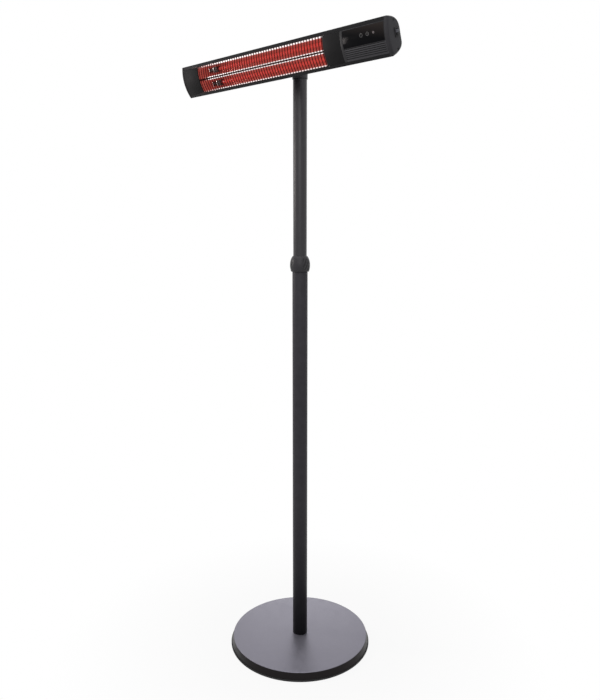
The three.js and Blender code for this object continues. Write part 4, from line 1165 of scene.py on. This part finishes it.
# ---------------------------------------------------------------- housing
class HEATER_OT_housing(Operator):
    """Model the extruded housing, its end caps and their screws"""

    bl_idname = "heater.housing"
    bl_label = "Housing"

    port_play = 0.0003  # round a screw's head
    flange = 0.0025  # the switch's frame laps its opening by this
    rounding = 0.6  # of a screw's rise
    slot_length, slot_width = 0.62, 0.12  # half of a slot, of a screw's radius
    slot_floor = 0.45  # of a screw's rise

    def execute(self, context):
        head = sizes("head")
        self.shell(head)
        # The right cap's lighter plastic is painted light on its end face.
        for side, finish in [("right", "Cap plastic"), ("left", "Plate coat")]:
            self.cap(head, "end_cap_" + side, finish)
            for level in ("upper", "lower"):
                self.screw(head, side, level)
        return {"FINISHED"}

    def shell(self, head):
        low, high = head_box("housing")
        edge = lip_edge()
        half = head.chord / 2
        inner_half = half - head.wall
        outline = face_line(edge, half, 0, 4)[:-1]
        outline += back_line(0)
        outline += face_line(-half, -edge, 0, 4)[1:]
        outline += face_line(-edge, -inner_half, head.wall, 4)[:-1]
        outline += back_line(head.wall)[::-1]
        outline += face_line(inner_half, edge, head.wall, 4)[1:]
        bm = run_along_x(outline, low.x, high.x)
        head_piece(bm, "head_shell", "Housing coat", ["housing"])

    def port_height(self, head):
        """Height of the upper end screws; the lower ones are as far below."""
        return head.chord / 2 - head.port_inset

    def cap(self, head, node, finish):
        seam = head_box("housing")[1].x
        end = head_box("end_cap_right")[1].x
        bm = run_along_x(head_outline(), seam, end)
        at_end = end - MERGE
        rim = [edge for edge in bm.edges if all(vert.co.x > at_end for vert in edge.verts)]
        rounded(bm, rim, head.cap_edge, 8)
        hollow = head_outline(head.cap_wall)
        cuts = [run_along_x(hollow, seam - PAST, end - head.cap_wall)]
        for side in (1, -1):
            start = (end - head.screw_sink, head.port_depth, side * self.port_height(head))
            radius = head.screw_radius + self.port_play
            cuts.append(rod(radius, start, (2 * head.screw_sink, 0, 0)))
        right = node == "end_cap_right"
        if right:
            low, high = head_box("switch_housing")
            low = (seam - PAST, low.y + self.flange, low.z + self.flange)
            high = (end + PAST, high.y - self.flange, high.z - self.flange)
            cuts.append(block(low, high))
        bm = cut_from(bm, *cuts)
        if not right:
            mirrored(bm)
        head_piece(bm, node + "_moulded", finish, [node])

    def screw(self, head, side, level):
        """Domed screw with a cross slot, cut one bar after the other."""
        end = head_box("end_cap_right")[1].x
        radius = head.screw_radius
        top = head.screw_rise
        bend = top * self.rounding
        dome = arc((radius - bend, top - bend), bend, 0, QUARTER, 4)
        bm = turned([(0, 0), (radius, 0), *dome, (0, top)], 32)
        long, wide = radius * self.slot_length, radius * self.slot_width
        floor = top * self.slot_floor
        for along, across in [(long, wide), (wide, long)]:
            slot = block((-along, -across, floor), (along, across, top * 1.5))
            bm = cut_from(bm, slot)
        height = self.port_height(head) if level == "upper" else -self.port_height(head)
        place = Matrix.Translation((end - head.screw_sink, head.port_depth, height))
        placed(bm, place @ Matrix.Rotation(QUARTER, 4, "Y"))
        if side == "left":
            mirrored(bm)
        where = side + "_" + level
        node = "end_cap_screw_" + where
        head_piece(bm, "cross_screw_" + where, "Blackened steel", [node])


# ---------------------------------------------------------------- face
class HEATER_OT_face(Operator):
    """Model the face plates, the control cover, the touch panel and the receiver"""

    bl_idname = "heater.face"
    bl_label = "Face"

    print_rise = 0.00008  # thickness of the printed marks
    bar_reach = 1.15  # of the ring's radius
    dot_size = 2.4  # of half the line's width
    dome_edge = 0.0008  # rounding of the receiver's window
    panel_edge = 0.0004
    drill = 0.005  # the receiver's hole is cut this far to both sides of the face

    def execute(self, context):
        face = sizes("face")
        for node in ("front_plate_left", "front_plate_right"):
            head_piece(self.plate(face, node), node + "_pressed", "Plate coat", [node])
        self.cover(face)
        self.panel(face)
        self.keys(face)
        self.lens()
        return {"FINISHED"}

    def plate(self, face, node):
        low, high = head_box(node)
        reach = lip_edge() - face.gap
        bm = run_along_x(strip_outline(-reach, reach, 0, face.plate), low.x, high.x)
        return soften(bm, face.seam, 60)

    def cover(self, face):
        low, high = head_box("touch_panel")
        gap = face.gap
        pocket = strip_outline(low.z - gap, high.z + gap, -PAST, face.panel + gap)
        cuts = [run_along_x(pocket, low.x - gap, high.x + gap)]
        half = face.rib_width / 2
        for groove in range(face.rib_count):
            middle = low.z - face.rib_gap - groove * face.rib_pitch
            outline = strip_outline(middle - half, middle + half, -PAST, face.rib_depth, 4)
            cuts.append(run_along_x(outline, low.x, high.x))
        bm = cut_from(self.plate(face, "control_cover"), *cuts)
        head_piece(bm, "ribbed_cover", "Cover plastic", ["control_cover"])

    def panel(self, face):
        low, high = head_box("touch_panel")
        outline = strip_outline(low.z, high.z, 0, face.panel)
        bm = soften(run_along_x(outline, low.x, high.x), self.panel_edge, 60)
        low, high = head_box("receiver_lens")
        middle = (low + high) / 2
        radius = (high.x - low.x) / 2 + face.gap
        depth = face_depth(middle.z)
        start = (middle.x, depth - self.drill, middle.z)
        hole = rod(radius, start, (0, 2 * self.drill, 0))
        bm = cut_from(bm, hole)
        head_piece(bm, "gloss_panel", "Gloss panel", ["touch_panel"])

    def keys(self, face):
        """Plain rings printed on the panel: one with a bar, one with a dot."""
        left = head_box("touch_panel")[0].x
        height = sum(part.z for part in head_box("receiver_lens")) / 2
        rise = self.print_rise
        radius = face.key_radius
        inner = radius - face.key_line
        ring = [(inner, 0), (radius, 0), (radius, rise), (inner, rise)]
        bar = face.key_line / 2
        dot = bar * self.dot_size
        marks = {
            face.key_first: block((-bar, 0, 0), (bar, radius * self.bar_reach, rise)),
            face.key_second: turned([(0, 0), (dot, 0), (dot, rise), (0, rise)], 24),
        }
        facing = Matrix.Rotation(QUARTER - math.asin(height / face_radius()), 4, "X")
        depth = face_depth(height) - rise / 2
        bm = bmesh.new()
        for across, mark in marks.items():
            key = joined(turned(ring, 48), mark)
            placed(key, Matrix.Translation((left + across, depth, height)) @ facing)
            joined(bm, key)
        head_piece(bm, "key_rings", "Panel print", ())

    def lens(self):
        low, high = head_box("receiver_lens")
        middle = (low + high) / 2
        radius = (high.x - low.x) / 2
        length = high.y - low.y
        edge = self.dome_edge
        dome = arc((radius - edge, length - edge), edge, 0, QUARTER, 5)
        bm = turned([(0, 0), (radius, 0), *dome, (0, length)], 40)
        place = Matrix.Translation((middle.x, high.y, middle.z))
        placed(bm, place @ Matrix.Rotation(QUARTER, 4, "X"))
        head_piece(bm, "receiver_dome", "Smoked lens", ["receiver_lens"])


class HEATER_OT_guard(Operator):
    """Model the wire guard in front of the lamps"""

    bl_idname = "heater.guard"
    bl_label = "Guard"

    rail_edge = 0.0003

    def execute(self, context):
        face = sizes("face")
        low, high = head_box("guard_grille")
        inset = sizes("head").wall + face.gap
        back = inset + face.rail
        foot = lip_edge() - face.rail_show
        top = lip_edge() + face.rail_width
        corners = [(foot, inset), (top, inset), (top, back), (foot, back)]
        bm = bmesh.new()
        for side in (1, -1):
            outline = [(face_depth(height, into), side * height) for height, into in corners]
            joined(bm, soften(run_along_x(outline, low.x, high.x), self.rail_edge))
        gaps = int((high.x - low.x - 2 * face.wire) / face.wire_pitch)
        start = (low.x + high.x - gaps * face.wire_pitch) / 2
        for index in range(gaps + 1):
            joined(bm, self.wire(face, start + index * face.wire_pitch, (inset + back) / 2))
        head_piece(bm, "wire_guard", "Guard wire", ["guard_grille"])
        return {"FINISHED"}

    def wire(self, face, across, inset):
        """One round wire that follows the face from rail to rail."""
        bend = face_radius() - inset
        middle = face_radius() - sizes("head").bulge
        reach = math.asin((lip_edge() + face.rail_width / 2) / bend)
        bm = wire_ring(face.wire, 10, Matrix.Translation((across, -bend, 0)))
        placed(bm, Matrix.Translation((0, middle, 0)) @ Matrix.Rotation(reach, 4, "X"))
        bmesh.ops.spin(
            bm, geom=bm.faces[:], cent=(across, middle, 0), axis=(1, 0, 0),
            angle=-2 * reach, steps=16, use_duplicate=False,
        )
        return outward(bm)


# ---------------------------------------------------------------- lamps
LEVELS = {"upper": 1, "lower": -1}


def trough_half(lamp):
    return (lip_edge() - lamp.trough_margin - lamp.ridge_half) / 2


def trough_line(side, steps=48):
    """Bent line of one reflector: outer flange, trough and ridge, as (depth, height)."""
    face = sizes("face")
    lamp = sizes("lamp")
    edge = lip_edge()
    back = sizes("head").wall + face.gap + face.rail
    flange = face_depth(edge + face.rail_width, back) + face.gap + lamp.sheet / 2
    half = trough_half(lamp)
    offset = lamp.ridge_half + half
    line = [
        (flange, side * (edge + lamp.flange_lap)),
        (flange, lamp.ridge_height + side * (offset + half + lamp.bend)),
    ]
    for step in range(steps + 1):
        away = half * (1 - 2 * step / steps)
        depth = lamp.trough_depth - (lamp.trough_depth - lamp.trough_mouth) * (away / half) ** 2
        line.append((depth, lamp.ridge_height + side * (offset + away)))
    for strip in (lamp.strip_outer, lamp.strip_inner):
        line.append((lamp.ridge_front, lamp.ridge_height + side * strip))
    line.append((lamp.ridge_return, lamp.ridge_height + side * (lamp.sheet / 2 + face.gap)))
    return line


def sheet_outline(line, thickness):
    """Closed outline of a sheet of even thickness along a bent line."""
    front, back = [], []
    for index, (depth, height) in enumerate(line):
        before = line[max(index - 1, 0)]
        after = line[min(index + 1, len(line) - 1)]
        run = Vector((after[0] - before[0], after[1] - before[1])).normalized()
        shift = Vector((-run.y, run.x)) * thickness / 2
        front.append((depth + shift.x, height + shift.y))
        back.append((depth - shift.x, height - shift.y))
    return front + back[::-1]


class HEATER_OT_reflectors(Operator):
    """Model the two polished troughs behind the lamps"""

    bl_idname = "heater.reflectors"
    bl_label = "Reflectors"

    def execute(self, context):
        sheet = sizes("lamp").sheet
        for level, side in LEVELS.items():
            node = "reflector_" + level
            low, high = head_box(node)
            line = trough_line(side)
            bm = run_along_x(sheet_outline(line, sheet), low.x, high.x)
            trough = line[2:-3]
            joined(bm, run_along_x(trough, low.x, low.x + sheet))
            head_piece(bm, "trough_" + level, "Reflector", [node])
        return {"FINISHED"}


class HEATER_OT_lamps(Operator):
    """Model the quartz tubes, their coils, ceramic blocks, clips and leads"""

    bl_idname = "heater.lamps"
    bl_label = "Lamps"

    coil_end = 0.002  # the coil starts this far inside its CAD rod

    def execute(self, context):
        lamp = sizes("lamp")
        for level, side in LEVELS.items():
            self.tube(lamp, level, side)
            self.coil(lamp, level, side)
            for end in ("left", "right"):
                self.holder(f"{end}_{level}")
        for node in ("lead_upper", "lead_lower", "lead_link"):
            name = node + "_sleeve"
            piece(copied(node), name, "head", "Lead sleeve", [node], ROUND)
        return {"FINISHED"}

    def along(self, lamp, side, start):
        """Matrix from a shape made up Z to one that runs along the lamp's axis."""
        height = lamp.ridge_height + side * (lamp.ridge_half + trough_half(lamp))
        place = Matrix.Translation((start, lamp.lamp_depth, height))
        return head_matrix() @ place @ Matrix.Rotation(QUARTER, 4, "Y")

    def tube(self, lamp, level, side):
        node = "lamp_tube_" + level
        low, high = head_box(node)
        span = high.x - low.x
        bore = lamp.glass - lamp.glass_wall
        profile = [(bore, 0), (lamp.glass, 0), (lamp.glass, span), (bore, span)]
        bm = placed(turned(profile, 32), self.along(lamp, side, low.x))
        piece(bm, "quartz_tube_" + level, "head", "Ruby quartz", [node])

    def coil(self, lamp, level, side):
        node = "filament_" + level
        low, high = head_box(node)
        turns = int((high.x - low.x - 2 * self.coil_end) / lamp.coil_pitch)
        steps = 12
        stand = Matrix.Translation((lamp.coil, 0, 0)) @ Matrix.Rotation(QUARTER, 4, "X")
        bm = wire_ring(lamp.coil_wire, 6, stand)
        bmesh.ops.spin(
            bm, geom=bm.faces[:], cent=(0, 0, 0), axis=(0, 0, 1),
            dvec=(0, 0, lamp.coil_pitch / steps), angle=2 * math.pi * turns,
            steps=steps * turns, use_duplicate=False,
        )
        placed(outward(bm), self.along(lamp, side, low.x + self.coil_end))
        piece(bm, "heating_coil_" + level, "head", "Hot coil", [node], ROUND)

    def holder(self, where):
        node = "lamp_base_" + where
        softened_copy(node, "ceramic_" + where, "head", "Ceramic", 0.0006)
        node = "lamp_clip_" + where
        name = "spring_clip_" + where
        softened_copy(node, name, "head", "Clip steel", 0.00025)


# ---------------------------------------------------------------- controls
class HEATER_OT_controls(Operator):
    """Finish the control bay, the cord gland and the power switch"""

    bl_idname = "heater.controls"
    bl_label = "Controls"

    def execute(self, context):
        black, cream = "Black plastic", "Cream plastic"
        finish_nodes(
            heat_partition="Zinc plate", thermal_cutout=black, control_board="Board resin",
            tip_switch=black, power_relay=cream, terminal_block=cream,
        )
        softened_copy("cord_gland", "gland_body", "head", black, 0.0005, 35)
        softened_copy("switch_housing", "switch_frame", "head", black, 0.0004, 60)
        rocker = "Rocker plastic"
        softened_copy("power_rocker", "rocker_cap", "power_rocker", rocker, 0.0006, 35, 3)
        return {"FINISHED"}


# ---------------------------------------------------------------- stage
# Name, place, target, size, power and colour.
SOFTBOXES = (
    ("Top softbox", (0.2, -0.5, 3.6), (0, 0, 0), 2.6, 30.0, (1, 1, 1)),
    ("Left softbox", (-1.95, -1.35, 1.95), (0, 0, 1.75), 0.4, 13.0, (1.0, 0.92, 0.89)),
    ("Front softbox", (2.2, -2.8, 2.6), (0, 0, 1.4), 1.8, 22.0, (1, 1, 1)),
    ("Back softbox", (-1.95, 2.15, 1.15), (0, 0, 0.6), 1.4, 8.0, (1, 1, 1)),
)


def seen(tree):
    """1 where a surface is seen, mirrored or looked through to, 0 where it only lights."""
    ray = add_node(tree, "LightPath").outputs
    direct = math_node(tree, "MAXIMUM", ray["Is Camera Ray"], ray["Is Glossy Ray"])
    return math_node(tree, "MAXIMUM", direct, ray["Is Transmission Ray"])


class HEATER_OT_stage(Operator):
    """Set up the camera, the pale floor, the lamps and the white surroundings"""

    bl_idname = "heater.stage"
    bl_label = "Stage"

    lit_shade = (0.9, 0.9, 0.9)
    bounced_shade = (0.35, 0.35, 0.35)  # the floor lights the heater only a little
    shadow_start, shadow_end = 0.35, 0.9  # the shadow fades out between these
    shadow_share = 0.11
    ambient = 0.35  # of the white that is seen

    def execute(self, context):
        scene = context.scene
        stage = sizes("stage")
        scene.view_settings.view_transform = "Standard"
        self.camera(scene, stage)
        self.floor(scene, stage)
        self.surroundings(scene)
        for row in SOFTBOXES:
            self.softbox(scene, *row)
        return {"FINISHED"}

    def camera(self, scene, stage):
        data = bpy.data.cameras.new("Camera")
        data.lens = stage.lens
        data.sensor_width = 36.0
        camera = bpy.data.objects.new("Camera", data)
        scene.collection.objects.link(camera)
        turn = stage.camera_turn
        away = stage.camera_away
        camera.location = (away * math.sin(turn), -away * math.cos(turn), stage.camera_height)
        camera.rotation_euler = (QUARTER - stage.camera_pitch, 0, turn)
        scene.camera = camera

    def floor(self, scene, stage):
        bm = bmesh.new()
        bmesh.ops.create_circle(bm, cap_ends=True, radius=stage.floor_radius, segments=64)
        mesh = bpy.data.meshes.new("Floor")
        bm.to_mesh(mesh)
        bm.free()
        floor = bpy.data.objects.new("Floor", mesh)
        scene.collection.objects.link(floor)
        mesh.materials.append(self.floor_paint())

    def floor_paint(self):
        """Pale floor that shows white, keeps the shadow near the foot and bounces little."""
        made = bpy.data.materials.new("Floor paint")
        made.use_nodes = True
        tree = made.node_tree
        tree.nodes.clear()
        lit = add_node(tree, "BsdfDiffuse", {"Color": self.lit_shade})
        bounce = add_node(tree, "BsdfDiffuse", {"Color": self.bounced_shade})
        white = add_node(tree, "Emission")
        away = add_node(tree, "VectorMath", {0: object_place(tree)}, operation="LENGTH")
        ends = (self.shadow_start, self.shadow_end)
        shadowed = remap(tree, away.outputs["Value"], *ends, self.shadow_share, 0.0)
        values = {0: shadowed, 1: white.outputs[0], 2: lit.outputs[0]}
        shown = add_node(tree, "MixShader", values)
        values = {0: seen(tree), 1: bounce.outputs[0], 2: shown.outputs[0]}
        either = add_node(tree, "MixShader", values)
        add_node(tree, "OutputMaterial", {"Surface": either.outputs[0]})
        return made

    def surroundings(self, scene):
        """White where it is seen or mirrored, plain soft light elsewhere."""
        world = bpy.data.worlds.new("Studio")
        scene.world = world
        world.use_nodes = True
        tree = world.node_tree
        strength = remap(tree, seen(tree), 0.0, 1.0, self.ambient, 1.0)
        fill(tree, tree.nodes["Background"], {"Color": (1, 1, 1), "Strength": strength})

    def softbox(self, scene, name, place, target, size, power, shade):
        data = bpy.data.lights.new(name, "AREA")
        data.size = size
        data.energy = power
        data.color = shade
        lamp = bpy.data.objects.new(name, data)
        scene.collection.objects.link(lamp)
        lamp.location = place
        lamp.visible_camera = False
        facing = Vector(target) - Vector(place)
        lamp.rotation_euler = facing.to_track_quat("-Z", "Y").to_euler()


# ---------------------------------------------------------------- panel and registration
OPERATORS = (
    HEATER_OT_foot,
    HEATER_OT_pole,
    HEATER_OT_collar,
    HEATER_OT_tilt_joint,
    HEATER_OT_housing,
    HEATER_OT_face,
    HEATER_OT_guard,
    HEATER_OT_reflectors,
    HEATER_OT_lamps,
    HEATER_OT_controls,
    HEATER_OT_stage,
)


class HEATER_PT_tools(Panel):
    """Lists the steps that build the heater"""

    bl_label = "Patio heater"
    bl_idname = "HEATER_PT_tools"
    bl_space_type = "VIEW_3D"
    bl_region_type = "UI"
    bl_category = "Heater"

    def draw(self, context):
        for step in OPERATORS:
            self.layout.operator(step.bl_idname)
        for group in GROUPS:
            settings = getattr(context.scene, group)
            box = self.layout.box()
            for name in settings.bl_rna.properties.keys():
                if name not in ("rna_type", "name"):
                    label = name.replace("_", " ").capitalize()
                    box.prop(settings, name, text=label)


def register():
    for group in (*GROUPS.values(), *OPERATORS, HEATER_PT_tools):
        bpy.utils.register_class(group)
    for name, group in GROUPS.items():
        setattr(bpy.types.Scene, name, PointerProperty(type=group))


def unregister():
    for name in GROUPS:
        delattr(bpy.types.Scene, name)
    for group in reversed((*GROUPS.values(), *OPERATORS, HEATER_PT_tools)):
        bpy.utils.unregister_class(group)


def run_step(idname):
    group, name = idname.split(".")
    getattr(getattr(bpy.ops, group), name)()


def main():
    register()
    for step in OPERATORS:
        run_step(step.bl_idname)


if __name__ == "__main__":
    main()
